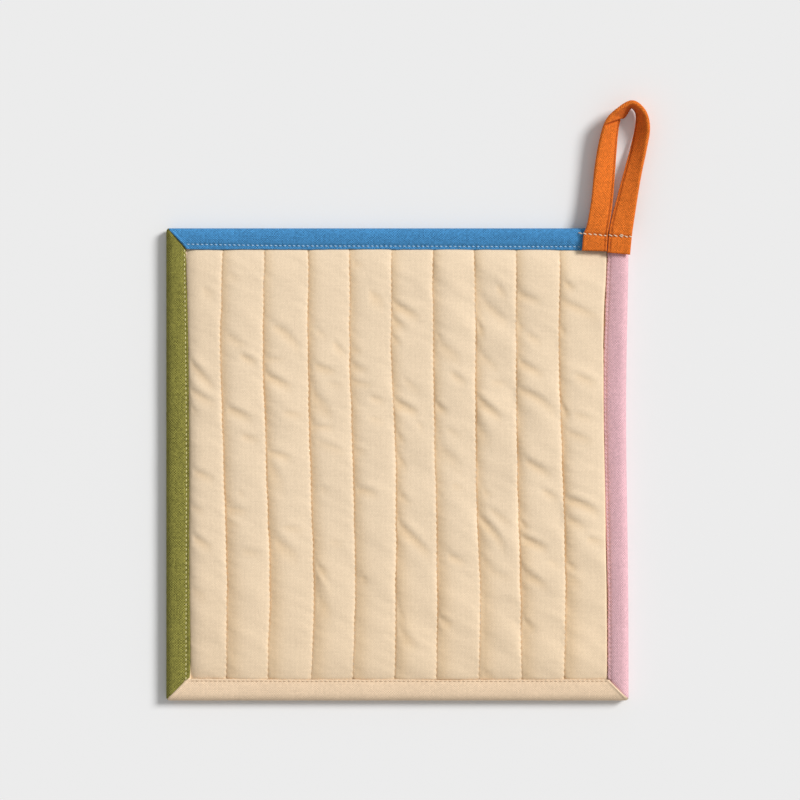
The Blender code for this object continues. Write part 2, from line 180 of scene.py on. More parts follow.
# The main creases. Each row has its channel, counted from the left, the height of its left end above the
# middle of the square and its fall to the right end (mm), where it starts and ends across the channel
# (0 to 1) and its depth (mm), then its breadth and its bend where they aren't 1. A bend of more than 1 is
# flat and then steep.
Crease = namedtuple("Crease", "channel height fall start end depth breadth bend", defaults=(1.0, 1.0))
CREASES = (
    (1, 47, 12, 0.05, 0.82, 0.55),
    (1, 34.5, 7.5, 0.04, 0.86, 0.5),
    (1, 26, 2.5, 0.08, 0.33, 0.25, 0.8),
    (1, -3, 3.5, 0.12, 0.75, 0.5),
    (1, -33, 5, 0.12, 0.65, 0.55),
    (1, -19, 2.5, 0.05, 0.45, 0.3, 0.9),
    (1, 80, 2.5, 0.45, 0.85, 0.2, 1.3),
    (1, -57, 3.5, 0.08, 0.5, 0.25, 1.2),
    (2, 59.5, 6.5, 0.14, 0.68, 0.35, 1.2),
    (2, 50, 3.5, 0.47, 0.88, 0.5, 0.9),
    (2, 26, 5, 0.13, 0.72, 0.65),
    (2, 13.5, 2, 0.43, 0.88, 0.4, 0.9),
    (2, 87, 2.5, 0.18, 0.45, 0.2),
    (2, -20, 1.5, 0.08, 0.55, 0.4),
    (2, -26.5, 1.5, 0.05, 0.38, 0.25, 0.8),
    (2, -39, 2, 0.36, 0.84, 0.25),
    (2, -12, 1.5, 0.32, 0.48, 0.2, 0.8),
    (3, 63, 11, 0.22, 0.87, 0.5, 1.1, 1.7),
    (3, 41, 6, 0.07, 0.66, 0.7),
    (3, 48.5, 0.5, 0.05, 0.5, 0.25, 0.8),
    (3, 24, 1.5, 0.42, 0.97, 0.35, 0.9),
    (3, 6, 3, 0.06, 0.6, 0.6),
    (3, 0.5, 10.5, 0.06, 0.44, 0.35, 1.6),
    (3, -28.5, 1, 0.3, 0.82, 0.3),
    (3, -34.5, 8, 0.14, 0.7, 0.45, 1.6),
    (4, 61.5, 3.5, 0.2, 0.5, 0.25, 0.9),
    (4, 55.5, 5, 0.6, 0.94, 0.35),
    (4, 45.5, 3.5, 0.15, 0.7, 0.55),
    (4, 37.5, 2, 0.43, 0.86, 0.2, 0.9),
    (4, 33, 11, 0.08, 0.6, 0.5, 1.6),
    (4, 17.5, 1, 0.07, 0.6, 0.42, 0.9),
    (4, 11, 5.5, 0.15, 0.88, 0.3, 1.1),
    (4, -10, 2.5, 0.2, 0.46, 0.2, 0.8),
    (4, -35, 1, 0.4, 0.75, 0.2, 0.9),
    (4, -46, 3, 0.08, 0.38, 0.42, 0.9),
    (4, -49.5, 9, 0.1, 0.42, -0.35, 0.6),
    (4, -61, 7, 0.08, 0.48, 0.35, 1.6),
    (5, 92.5, 1.5, 0.08, 0.38, 0.25, 0.9),
    (5, 78.5, 4.5, 0.46, 0.86, 0.45, 1.6),
    (5, 53, 1.5, 0.05, 0.32, 0.28, 0.8),
    (5, 45.5, 2.5, 0.05, 0.44, 0.42, 0.9),
    (5, 38, 2, 0.03, 0.55, 0.42, 0.9),
    (5, 31, 2, 0.44, 0.82, 0.35, 0.9),
    (5, 6.5, 0.5, 0.06, 0.37, 0.25, 0.8),
    (5, 21.5, 2, 0.42, 0.82, 0.2, 0.9),
    (5, -11.5, 2.5, 0.08, 0.6, 0.52, 1.0, 2.0),
    (5, -51.5, 1.5, 0.14, 0.34, 0.28, 0.9),
    (6, 74, 7, 0.02, 0.7, 0.75),
    (6, 66.5, 4, 0.02, 0.38, 0.55, 0.9),
    (6, 58, 2.5, 0.02, 0.27, 0.4, 0.8),
    (6, 39, 6, 0.27, 0.72, 0.25),
    (6, 29.5, 6, 0.0, 0.65, 0.85),
    (6, 19.5, 3, 0.56, 0.76, 0.25, 0.8),
    (6, 14.5, 4, 0.03, 0.3, 0.35, 0.9),
    (6, 3, 4, 0.05, 0.32, 0.42, 0.9),
    (6, -13, 5, 0.08, 0.4, 0.32),
    (6, -26.5, 15, 0.04, 0.9, 0.7, 1.1),
    (6, -66, 8, 0.05, 0.28, 0.32, 1.2),
    (6, -76, 6.5, 0.08, 0.55, 0.42, 1.2),
    (7, 59.5, 1.5, 0.06, 0.22, 0.3, 0.8),
    (7, 55.5, 8, 0.14, 0.68, 0.42, 1.6),
    (7, 42, 4.5, 0.4, 0.8, 0.4),
    (7, 27.5, 3.5, 0.04, 0.34, 0.6, 0.9),
    (7, 16.5, 3.5, 0.28, 0.68, 0.25, 0.9),
    (7, 8, 8.5, 0.12, 0.68, 0.32, 1.6),
    (7, -9, 1.5, 0.38, 0.72, 0.25, 0.9),
    (7, -41, 4, 0.26, 0.72, 0.42),
    (7, -70, 3, 0.04, 0.38, 0.6, 0.9),
    (8, 82, 5, 0.5, 0.8, 0.42),
    (8, 75, 10.5, 0.17, 0.84, 0.4, 1.1),
    (8, 64, 4, 0.04, 0.24, 0.5, 0.9),
    (8, 50, 6.5, 0.12, 0.6, 0.35),
    (8, 38, 1, 0.36, 0.85, 0.25, 0.9),
    (8, 30.5, 9, 0.02, 0.66, 0.85),
    (8, 17, 6, 0.03, 0.4, 0.35, 1.6),
    (8, -11.5, 2.5, 0.16, 0.4, 0.32, 0.9),
    (8, -20, 7, 0.28, 0.85, 0.35),
    (8, -24.5, 13.5, 0.02, 0.68, 0.85, 1.0, 1.5),
    (8, -43.5, 3.5, 0.08, 0.45, 0.3),
    (8, -48, 4.5, 0.2, 0.86, 0.2),
    (8, -95, 2.5, 0.1, 0.4, 0.3),
    (9, 78, 4, 0.05, 0.62, 0.42),
    (9, 64.5, 2.5, 0.04, 0.22, 0.32, 0.8),
    (9, 60, 4.5, 0.24, 0.62, 0.35),
    (9, 47, 6, 0.06, 0.66, 0.65),
    (9, 34, 10.5, 0.04, 0.92, 0.6, 1.0, 1.7),
    (9, 2, 6.5, 0.17, 0.77, 0.65),
    (9, -11.5, 4, 0.53, 0.9, 0.42, 0.9),
    (9, -26, 2.5, 0.03, 0.22, 0.5, 0.8),
    (9, -33, 5.5, 0.04, 0.65, 0.85),
    (9, -48, 8, 0.04, 0.64, 0.65),
    (9, -71, 4, 0.06, 0.34, 0.5, 0.9),
    (9, -43.5, 3, 0.62, 0.95, 0.2, 0.9),
    (10, 83, 2.5, 0.1, 0.35, 0.5, 0.9),
    (10, 75, 8, 0.03, 0.88, 0.5),
    (10, 62.5, 2, 0.02, 0.18, 0.32, 0.8),
    (10, 41, 4, 0.35, 0.85, 0.38),
    (10, 26.5, 4, 0.02, 0.22, 0.55, 0.9),
    (10, 23.5, 3, 0.3, 0.75, 0.25, 0.9),
    (10, 15, 4, 0.12, 0.72, 0.42),
    (10, -16, 6, 0.04, 0.85, 0.85, 1.0, 1.7),
    (10, -24, 5, 0.06, 0.55, 0.45),
    (10, -33.5, 2, 0.5, 0.96, 0.38, 0.9),
    (10, -45.5, 2, 0.05, 0.3, 0.42, 0.9),
    (10, -51, 4, 0.07, 0.4, 0.25),
)

# The bindings' cloth: its wall, how far in from the outer edge its round fold reaches, and the width that
# its profile is drawn at before it is stretched to the lip.
BINDING_WALL = 1.0 * MM
BINDING_REACH = 3.4 * MM
PROFILE_WIDTH = 10.4 * MM

# The topstitches, the first and the last of them this far from a strip's ends.
TOPSTITCH_PITCH = 2.1 * MM
TOPSTITCH_RISE = 0.15 * MM
FIRST_STITCH = 8.1 * MM
LAST_STITCH = 9.4 * MM

# A strip's front is domed by this much, and stands up in a rim at its lip and where its mitre laps over.
STRIP_DOME = 1.25 * MM
LIP_RIM = 0.32 * MM
MITRE_RIM = 0.4 * MM

# A mitre that laps over its neighbour's reaches this far across it, and one that lies under stops short.
MITRE_LAP = 0.45 * MM
MITRE_GAP = 0.15 * MM

# Four columns close each lip, and the cloth's pattern runs on this far for each of them.
LIP_COLUMNS = 4
LIP_STEP = 0.3 * MM

# Each strip has its cloth's colour, the seed of its unevenness, how much its weave's crossings differ, its
# thread's radius, a stitch's length and slant, and how deep the stitches draw the cloth in. Then come how
# far in from the outer edge its front lip and its stitches lie, at five places from its first end, which
# is the left or the bottom one, to its last. Each end's mitre laps over its neighbour's or lies under it.
# It stops short of the corner by so much at the outer edge, and by slope times the distance inwards after
# that. Lengths are in millimetres.
STRIP_PLACES_MM = (-95.0, -48.0, 0.0, 48.0, 95.0)
STRIPS = {
    "top": {
        "colour": "blue", "seed": 100, "checks": 0.47, "thread": 0.27,
        "dash": 1.3, "slant": 0.1, "groove": 0.2,
        "lip": (9.65, 9.75, 9.6, 9.8, 9.85),
        "stitches": (7.4, 8.1, 8.25, 8.45, 8.5),
        "first": {"laps": True, "short": 1.3, "slope": 0.9},
        "last": {"laps": False, "short": 0.0, "slope": 1.0},
    },
    "left": {
        "colour": "green", "seed": 110, "checks": 0.62, "thread": 0.27,
        "dash": 1.35, "slant": 0.05, "groove": 0.2,
        "lip": (10.95, 10.45, 10.5, 10.1, 8.95),
        "stitches": (9.1, 9.2, 9.3, 9.0, 8.4),
        "first": {"laps": False, "short": -0.3, "slope": 1.02},
        "last": {"laps": False, "short": -0.9, "slope": 1.1},
    },
    "bottom": {
        "colour": "cream", "seed": 120, "checks": 0.16, "thread": 0.17,
        "dash": 1.4, "slant": 0.0, "groove": 0.1,
        "lip": (9.85, 9.6, 9.6, 9.6, 9.7),
        "stitches": (9.1, 8.95, 8.95, 8.95, 9.0),
        "first": {"laps": True, "short": 0.25, "slope": 0.98},
        "last": {"laps": True, "short": 0.0, "slope": 1.0},
    },
    "right": {
        "colour": "pink", "seed": 130, "checks": 0.25, "thread": 0.22,
        "dash": 1.3, "slant": 0.0, "groove": 0.2,
        "lip": (9.4, 9.5, 10.05, 10.4, 9.45),
        "stitches": (8.7, 8.8, 9.35, 9.7, 8.75),
        "first": {"laps": False, "short": 0.0, "slope": 1.0},
        "last": {"laps": True, "short": 0.0, "slope": 1.0},
    },
}

# The hanging loop's tape, and how many rows its skin has between its rounded ends.
TAPE_THICKNESS = 2.0 * MM
TAPE_ROWS = 460

# The tape's two long edges at each station, from the left end over the top to the right end, measured
# from the middle of the square and up from the table. The inner edge faces the other leg.
TAPE_STATIONS_MM = (
    # station, inner x, inner y, inner z, outer x, outer y, outer z
    ("left end", 95.1, 97.2, 8.0, 84.1, 97.6, 8.0),
    ("left seam", 95.6, 104.6, 8.0, 84.9, 105.2, 8.0),
    ("leaves the binding", 96.3, 109.0, 7.8, 86.5, 109.5, 7.9),
    ("left leg low", 98.4, 121.0, 5.2, 88.5, 121.0, 7.2),
    ("left leg middle", 99.5, 134.5, 2.6, 90.0, 135.0, 7.0),
    ("left leg high", 100.4, 147.0, 1.6, 92.2, 147.5, 8.0),
    ("left shoulder", 101.7, 157.3, 1.4, 95.0, 156.2, 9.2),
    ("left of the top", 104.8, 160.2, 1.3, 100.2, 161.8, 10.3),
    ("top", 107.2, 163.6, 1.3, 107.0, 165.2, 11.0),
    ("right of the top", 109.6, 160.6, 1.3, 112.6, 161.0, 10.8),
    ("right shoulder", 109.2, 154.2, 1.4, 114.8, 153.6, 9.5),
    ("right leg high", 106.7, 144.5, 2.2, 113.7, 144.0, 7.4),
    ("right leg middle", 103.4, 133.0, 3.4, 111.4, 132.2, 6.6),
    ("right leg low", 100.0, 120.6, 5.4, 109.3, 119.6, 7.4),
    ("reaches the binding", 97.3, 109.0, 7.8, 107.5, 108.0, 7.9),
    ("right seam", 96.7, 104.6, 8.0, 107.0, 104.2, 8.0),
    ("right end", 96.1, 96.7, 8.0, 106.2, 95.7, 8.0),
)

# Where they are sewn down, the legs' inner edges are this much nearer each other than the stations say.
LEG_CLOSING = 0.42 * MM

# Before the top the tape is gathered in small pleats along its inner edge.
PLEAT_PITCH = 1.7 * MM

# The tape's edge stitching.
EDGE_STITCH_INWARD = 1.15 * MM
EDGE_STITCH_PITCH = 2.3 * MM
EDGE_STITCH = 1.5 * MM
EDGE_THREAD, EDGE_RISE = 0.2 * MM, 0.08 * MM

# The cross seam that holds both the tape's ends down, from the seam's left end to its right.
CROSS_SEAM_MM = ((84.3, 105.3), (106.9, 103.9))
CROSS_THREAD, CROSS_RISE = 0.31 * MM, 0.18 * MM

# The weave's threads, one from the next, the relief of cloth and thread, and the twist of sewing thread.
THREAD_PITCH = 0.57 * MM
THREAD_RELIEF = 0.05 * MM
STRAND_PITCH = 0.35 * MM

# How much painted shade darkens the gaps between threads, and how deep they are on average, from 0 to 1.
# Then how much the colour varies in broad patches and, for each unit of checks, in small ones.
GAP_SHADE = 0.12
MEAN_GAP = 0.4
UNEVEN_DYE = 0.12
MOTTLING = 0.35

# Painted shade: the tints that multiply a cloth's colour where shade falls, and the dark grey painted deep
# in a gap.
PANEL_PAINTED_SHADE_TINT = (0.96, 0.9, 0.81)
BINDING_PAINTED_SHADE_TINT = (0.97, 0.93, 0.88)
TAPE_PAINTED_SHADE_TINT = (0.55, 0.4, 0.4)
PAINTED_GAP_SHADE = (0.24, 0.29, 0.33)


# ---------------------------------------------------------------------------------------------------
# Curves and soft noise


def smooth_between(places, values, wanted):
    """Values at the wanted places, on smooth curves through the given ones (Catmull-Rom slopes).

    places rise from first to last; values may have several columns.
    """
    values = np.asarray(values, dtype=float)
    slopes = np.gradient(values, places, axis=0)
    left = np.clip(np.searchsorted(places, wanted, side="right") - 1, 0, len(places) - 2)
    span = places[left + 1] - places[left]
    part = (wanted - places[left]) / span
    shape = (-1,) + (1,) * (values.ndim - 1)
    part = part.reshape(shape)
    span = span.reshape(shape)
    return (
        (2 * part**3 - 3 * part**2 + 1) * values[left]
        + (part**3 - 2 * part**2 + part) * span * slopes[left]
        + (3 * part**2 - 2 * part**3) * values[left + 1]
        + (part**3 - part**2) * span * slopes[left + 1]
    )


def soft_step(value, low, high):
    """0 below low, 1 above high, and 3t^2 - 2t^3 between them."""
    part = np.clip((value - low) / (high - low), 0, 1)
    return part * part * (3 - 2 * part)


def hill(value, middle, spread):
    """A bell curve: 1 at the middle, falling as e^-((value - middle) / spread)^2."""
    return np.exp(-(((value - middle) / spread) ** 2))


def soft_noise(x, y, cell_x, cell_y, seed):
    """Smooth noise from -1 to 1: random values on a lattice of cells, blended by 6t^5 - 15t^4 + 10t^3."""
    size = 64
    lattice = np.random.default_rng(seed).uniform(-1, 1, (size, size))
    across = np.asarray(x) / cell_x
    up = np.asarray(y) / cell_y
    column = np.floor(across).astype(int)
    row = np.floor(up).astype(int)

    def eased(part):
        return part**3 * (part * (6 * part - 15) + 10)

    right = eased(across - column)
    above = eased(up - row)

    def level(step):
        """The lattice's values blended across, in the row below a point or the one above it."""
        line = (row + step) % size
        return lattice[line, column % size] * (1 - right) + lattice[line, (column + 1) % size] * right

    return level(0) * (1 - above) + level(1) * above


def right_edge_bow(y):
    """How far the right edge is drawn in: a squared sine, nothing at the corners, most above the middle."""
    part = np.clip((y + HALF_LENGTH) / (2 * HALF_LENGTH), 0, 1)
    skewed = part ** (math.log(0.5) / math.log(BOW_HEIGHT))
    return RIGHT_EDGE_BOW * np.sin(math.pi * skewed) ** 2


def joined(places_mm, values_mm, wanted):
    """Values given at a few places (mm), joined smoothly and level beyond the ends, in metres."""
    places = np.array(places_mm) * MM
    held = np.clip(np.ravel(wanted), places[0], places[-1])
    return smooth_between(places, np.array(values_mm) * MM, held).reshape(np.shape(wanted))


def along_strip(edge, value, run):
    """A strip's lip or stitches: how far in from the outer edge they lie along its run."""
    return joined(STRIP_PLACES_MM, STRIPS[edge][value], run)


def channel_lines(y):
    """X of the panel's lengthwise lines at each y: the left lip, the nine seams and the right lip.

    The seams wander a little, as lines sewn by hand do.
    """
    lines = [along_strip("left", "lip", y) - HALF_WIDTH]
    for number, row in enumerate(SEAMS_MM):
        wander = SEAM_WANDER * soft_noise(y, 0 * y, 9 * MM, 1.0, 70 + number)
        lines.append(joined(HEIGHTS_MM, row[1:6], y) + wander)
    lines.append(HALF_WIDTH - right_edge_bow(y) - along_strip("right", "lip", y))
    return np.stack(lines, axis=1)


# ---------------------------------------------------------------------------------------------------
# Meshes


def linked(thing):
    """The object, put into the scene."""
    bpy.context.scene.collection.objects.link(thing)
    return thing


def new_object(name, vertices, faces, corner_uv, material, hollow=None):
    """A smooth mesh object at the origin, from arrays of faces that each hold faces of one size.

    corner_uv has an array for each of those, with a row for each corner, and the shade a value for each
    vertex, how much painted shade its colour takes. Where the faces' volume comes out negative they are
    turned round, to point outwards.
    """
    first, second, third, fourth = np.moveaxis(vertices[faces[0]] - vertices.mean(axis=0), 1, 0)
    volume = np.sum(first * np.cross(second, third)) + np.sum(first * np.cross(third, fourth))
    if volume < 0:
        faces = [array[:, ::-1] for array in faces]
        corner_uv = [array[:, ::-1] for array in corner_uv]
    mesh = bpy.data.meshes.new(name)
    mesh.from_pydata(vertices + CENTRE, [], [face for array in faces for face in array.tolist()])
    mesh.validate()
    flat_uv = np.concatenate([array.ravel() for array in corner_uv])
    mesh.uv_layers.new(name="Cloth").uv.foreach_set("vector", flat_uv.astype(np.float32))
    # The painted shade goes into a point attribute, which the cloth's material darkens its colour by.
    if hollow is not None:
        shade = mesh.attributes.new("hollow", "FLOAT", "POINT")
        shade.data.foreach_set("value", hollow.astype(np.float32).ravel())
    mesh.shade_smooth()
    mesh.materials.append(material)
    return linked(bpy.data.objects.new(name, mesh))


def tube_faces(rows, columns):
    """Quads of a grid whose last column joins its first, and the two outlines that close its ends."""
    index = np.arange(rows * columns).reshape(rows, columns)
    beside = np.roll(index, -1, axis=1)
    quads = np.stack([index[:-1], beside[:-1], beside[1:], index[1:]], axis=2).reshape(-1, 4)
    caps = np.stack([index[0, ::-1], index[-1]])
    return quads, caps


def closed(grid):
    """The grid with its first column again after its last."""
    return np.concatenate([grid, grid[:, :1]], axis=1)


def tube_object(name, grid, along, around, hollow, material):
    """A closed solid from a grid of points: each row is a closed outline, and flat faces close its ends.

    along and around are the cloth's own coordinates of each point. around has one column more than the
    grid, so that the pattern doesn't run backwards over the last column of faces. The painted shade may
    leave out the last columns, where it is 0.
    """
    rows, columns = grid.shape[:2]
    hollow = np.pad(hollow, ((0, 0), (0, columns - hollow.shape[1])))
    uv = np.stack([np.broadcast_to(around, (rows, columns + 1)), closed(along)], axis=2)
    corners = np.stack([uv[:-1, :-1], uv[:-1, 1:], uv[1:, 1:], uv[1:, :-1]], axis=2)
    corner_uv = [corners.reshape(-1, 4, 2), np.stack([uv[0, -2::-1], uv[-1, :-1]])]
    return new_object(name, grid.reshape(-1, 3), tube_faces(rows, columns), corner_uv, material, hollow)


def stitches_object(name, starts, ends, ups, radius, rise, material):
    """Many short threads in one mesh, each from a start to an end, arched up between them.

    Along part t from 0 to 1 the thread's middle rises by rise times sin(pi t)^0.6, and its radius is
    the given one times 0.35 + 0.65 sin(pi t)^0.5, so that both ends dive into the cloth. Its section
    is an ellipse, three quarters as high as it is wide.
    """
    rings, sides = 6, 6
    part = np.linspace(0.02, 0.98, rings)
    arch = np.sin(math.pi * part)
    turn = np.arange(sides) * 2 * math.pi / sides
    run = ends - starts
    length = np.linalg.norm(run, axis=1, keepdims=True)
    beside = np.cross(ups, run / length)
    beside /= np.linalg.norm(beside, axis=1, keepdims=True)
    upright = np.cross(run / length, beside)
    middle = starts[:, None] + run[:, None] * part[:, None] + upright[:, None] * (rise * arch**0.6)[:, None]
    ring = beside[:, None] * np.cos(turn)[:, None] + upright[:, None] * 0.75 * np.sin(turn)[:, None]
    size = radius * (0.35 + 0.65 * arch**0.5)
    grid = middle[:, :, None] + ring[:, None] * size[:, None, None]

    step = rings * sides * np.arange(len(starts))[:, None, None]
    faces = [(shape + step).reshape(-1, shape.shape[1]) for shape in tube_faces(rings, sides)]
    along = np.broadcast_to((part * length)[:, :, None], grid.shape[:3])
    around = np.broadcast_to(turn * radius, grid.shape[:3])
    uv = np.stack([around, along], axis=3).reshape(-1, 2)
    return new_object(name, grid.reshape(-1, 3), faces, [uv[shape] for shape in faces], material)


# ---------------------------------------------------------------------------------------------------
# Materials


class Nodes:
    """Adds nodes to a tree and links them, so that a pattern reads as a formula."""

    def __init__(self, tree):
        self.tree = tree

    def add(self, kind, inputs=(), **settings):
        """A node with its settings and its inputs."""
        node = self.tree.nodes.new(kind)
        for key, value in settings.items():
            setattr(node, key, value)
        self.fill(node, inputs)
        return node

    def fill(self, node, inputs):
        """A node's inputs, linked from sockets or set to values."""
        for key, value in dict(inputs).items():
            if isinstance(value, bpy.types.NodeSocket):
                self.tree.links.new(value, node.inputs[key])
            else:
                node.inputs[key].default_value = value

    def maths(self, operation, first, second=0.0, third=0.0, clamp=False):
        """One Math node's value."""
        inputs = {0: first, 1: second, 2: third}
        return self.add("ShaderNodeMath", inputs, operation=operation, use_clamp=clamp).outputs[0]

    def times(self, first, second):
        """The product of two values."""
        return self.maths("MULTIPLY", first, second)

    def about_zero(self, value):
        """A value from 0 to 1, taken down to have its middle at 0."""
        return self.maths("SUBTRACT", value, 0.5)

    def vector(self, operation, inputs):
        """One Vector Math node's vector."""
        return self.add("ShaderNodeVectorMath", inputs, operation=operation).outputs["Vector"]

    def blend(self, part, first, second):
        """The first value where part is 0 and the second where it is 1."""
        return self.add("ShaderNodeMix", {0: part, 2: first, 3: second}, data_type="FLOAT").outputs[0]

    def blend_colours(self, part, first, second):
        """The first colour where part is 0 and the second where it is 1."""
        return self.add("ShaderNodeMix", {0: part, 6: first, 7: second}, data_type="RGBA").outputs[2]

    def noise(self, vector, scale, detail, roughness=0.5, stretch=None):
        """Noise with its mean near 0.5, squeezed on each axis by stretch."""
        if stretch:
            vector = self.add("ShaderNodeMapping", {"Vector": vector, "Scale": (*stretch, 1.0)}).outputs[0]
        inputs = {"Vector": vector, "Scale": scale, "Detail": detail, "Roughness": roughness}
        return self.add("ShaderNodeTexNoise", inputs).outputs["Fac"]


def new_group(name, number, default, outputs):
    """A node group that takes a vector and one number and gives values: its nodes and its two ends."""
    tree = bpy.data.node_groups.new(name, "ShaderNodeTree")
    tree.interface.new_socket("Vector", in_out="INPUT", socket_type="NodeSocketVector")
    tree.interface.new_socket(number, in_out="INPUT", socket_type="NodeSocketFloat").default_value = default
    for output in outputs:
        tree.interface.new_socket(output, in_out="OUTPUT", socket_type="NodeSocketFloat")
    return Nodes(tree), tree.nodes.new("NodeGroupInput").outputs, tree.nodes.new("NodeGroupOutput")


def weave_group():
    """Plain weave: crossings one thread wide, where warp and weft pass over by turns.

    With x and y counted in threads, sin(pi x) sin(pi y) is positive where the warp is on top and
    negative where the weft is. The thread on top is a hump, |sin|^0.4 along it and |sin|^1.1 across
    it, with fibres along it. Each crossing and each yarn has its own tone. The crossings with the warp
    on top are set apart from the others, partly painted light on the humps and partly the warp's own
    tone, and in patches more than elsewhere.
    """
    outputs = ("Height", "Check", "Tone")
    nodes, given, end = new_group("Plain Weave", "Threads per Metre", 1500.0, outputs)
    place = given["Vector"]
    wobble = nodes.add("ShaderNodeTexNoise", {"Vector": place, "Scale": 260.0, "Detail": 3.0})
    wander = {0: wobble.outputs["Color"], 1: (0.8 * MM, 0.8 * MM, 0.0), 2: place}
    shifted = nodes.vector("MULTIPLY_ADD", wander)
    counted = nodes.vector("SCALE", {0: shifted, "Scale": given["Threads per Metre"]})
    split = nodes.add("ShaderNodeSeparateXYZ", {0: counted}).outputs
    across, along = (nodes.maths("SINE", nodes.times(split[axis], math.pi)) for axis in "XY")
    crossing = nodes.times(across, along)
    warp = nodes.maths("MULTIPLY_ADD", crossing, 3.0, 0.5, clamp=True)
    broad_x = nodes.maths("ABSOLUTE", across)
    broad_y = nodes.maths("ABSOLUTE", along)

    def on_top(round_way, long_way, fibre_stretch):
        """A hump's height, with fibres raised on it."""
        hump = nodes.times(nodes.maths("POWER", round_way, 1.1), nodes.maths("POWER", long_way, 0.4))
        fibres = nodes.noise(counted, 1.0, 2.0, stretch=fibre_stretch)
        return nodes.times(hump, nodes.maths("MULTIPLY_ADD", fibres, 0.7, 0.65))

    warp_height = on_top(broad_x, broad_y, (3.2, 0.35))
    height = nodes.blend(warp, on_top(broad_y, broad_x, (0.35, 3.2)), warp_height)
    warp_tone = nodes.noise(counted, 0.9, 1.0, stretch=(1.0, 0.03))
    weft_tone = nodes.noise(counted, 0.9, 1.0, stretch=(0.03, 1.0))
    yarn = nodes.about_zero(nodes.blend(warp, weft_tone, warp_tone))
    cell = nodes.vector("FLOOR", {0: counted})
    chance = nodes.about_zero(nodes.add("ShaderNodeTexWhiteNoise", {"Vector": cell}).outputs["Value"])
    tone = nodes.maths("MULTIPLY_ADD", chance, 0.8, yarn)
    patchy = nodes.maths("MULTIPLY_ADD", nodes.noise(place, 210.0, 1.0), 3.2, -0.6)
    over = nodes.about_zero(nodes.maths("MULTIPLY_ADD", crossing, 2.0, 0.5, clamp=True))
    check = nodes.times(over, nodes.maths("MAXIMUM", patchy, 0.4))
    nodes.fill(end, {"Height": height, "Check": check, "Tone": tone})


def slub_group():
    """Slubs and flecks: noise drawn out along the warp and along the weft, and only its peaks kept."""
    nodes, given, end = new_group("Slubs", "Peak", 0.66, ("Slub", "Fleck"))
    place = given["Vector"]
    lengthwise = nodes.noise(place, 1.0, 1.0, stretch=(1400.0, 130.0))
    crosswise = nodes.noise(place, 1.0, 1.0, stretch=(130.0, 1400.0))
    above = nodes.maths("SUBTRACT", nodes.maths("MAXIMUM", lengthwise, crosswise), given["Peak"])
    slub = nodes.maths("MULTIPLY", above, 6.0, clamp=True)
    specks = nodes.noise(place, 1.0, 3.0, 0.7, stretch=(420.0, 300.0))
    fleck = nodes.maths("MULTIPLY", nodes.maths("SUBTRACT", specks, 0.74), 14.0, clamp=True)
    nodes.fill(end, {"Slub": slub, "Fleck": fleck})


def new_material(name):
    """A material, its nodes, and the cloth's or the thread's own coordinates."""
    material = bpy.data.materials.new(name)
    material.use_nodes = True
    nodes = Nodes(material.node_tree)
    return material, nodes, nodes.add("ShaderNodeUVMap", uv_map="Cloth").outputs["UV"]


def finish_material(material, nodes, colour, tone, height, constants):
    """The shader's colour times its tone, its relief, and its values that are the same all over."""
    shader = material.node_tree.nodes["Principled BSDF"]
    bump = nodes.add("ShaderNodeBump", {"Height": height, "Distance": THREAD_RELIEF})
    toned = nodes.vector("SCALE", {0: colour, "Scale": tone})
    nodes.fill(shader, {"Base Color": toned, "Normal": bump.outputs["Normal"], **constants})
    return material


def cloth_material(name, colour, checks, streaks, slub=0.0, fleck=0.0, painted_shade_tint=PANEL_PAINTED_SHADE_TINT):
    """Woven cotton, whose colour varies from crossing to crossing, yarn to yarn and place to place.

    checks is how much lighter the crossings with the warp on top are, partly painted light on the humps
    and partly the warp's own tone, streaks how much the yarns differ, slub and fleck how much darker thick
    places and seed flecks are. Where the mesh's painted-shade attribute is 1 the colour is multiplied by
    the shade tint, painted shade, and at 2 it takes the painted dark grey of shade deep in a gap.
    """
    groups = bpy.data.node_groups
    for group, make in (("Plain Weave", weave_group), ("Slubs", slub_group)):
        if group not in groups:
            make()
    material, nodes, place = new_material(name)
    weave_inputs = {"Vector": place, "Threads per Metre": 1 / THREAD_PITCH}
    weave = nodes.add("ShaderNodeGroup", weave_inputs, node_tree=groups["Plain Weave"]).outputs
    slubs = nodes.add("ShaderNodeGroup", {"Vector": place}, node_tree=groups["Slubs"]).outputs
    tone = 1.0 + MEAN_GAP * GAP_SHADE
    for signal, strength in (
        (nodes.maths("SUBTRACT", 1.0, weave["Height"]), -GAP_SHADE),
        (weave["Check"], checks),
        (weave["Tone"], streaks),
        (nodes.about_zero(nodes.noise(place, 45.0, 3.0)), UNEVEN_DYE),
        (nodes.about_zero(nodes.noise(place, 300.0, 3.0)), MOTTLING * checks),
        (slubs["Slub"], -slub),
        (slubs["Fleck"], -fleck),
    ):
        tone = nodes.maths("MULTIPLY_ADD", signal, strength, tone)

    # Painted shade: the mesh's attribute tints the colour darker where shade falls, and paints it dark grey
    # deep in a gap.
    hollow = nodes.add("ShaderNodeAttribute", attribute_name="hollow").outputs["Fac"]
    shaded = [part * tint for part, tint in zip(colour, painted_shade_tint)]
    tinted = nodes.blend_colours(hollow, (*colour, 1), (*shaded, 1))
    depth = nodes.maths("SUBTRACT", hollow, 1.0, clamp=True)
    deepened = nodes.blend_colours(depth, tinted, (*PAINTED_GAP_SHADE, 1))
    height = nodes.maths("MULTIPLY_ADD", slubs["Slub"], 0.5, weave["Height"])
    matt = {"Roughness": 0.92, "Specular IOR Level": 0.1, "Sheen Weight": 0.02}
    return finish_material(material, nodes, deepened, tone, height, matt)


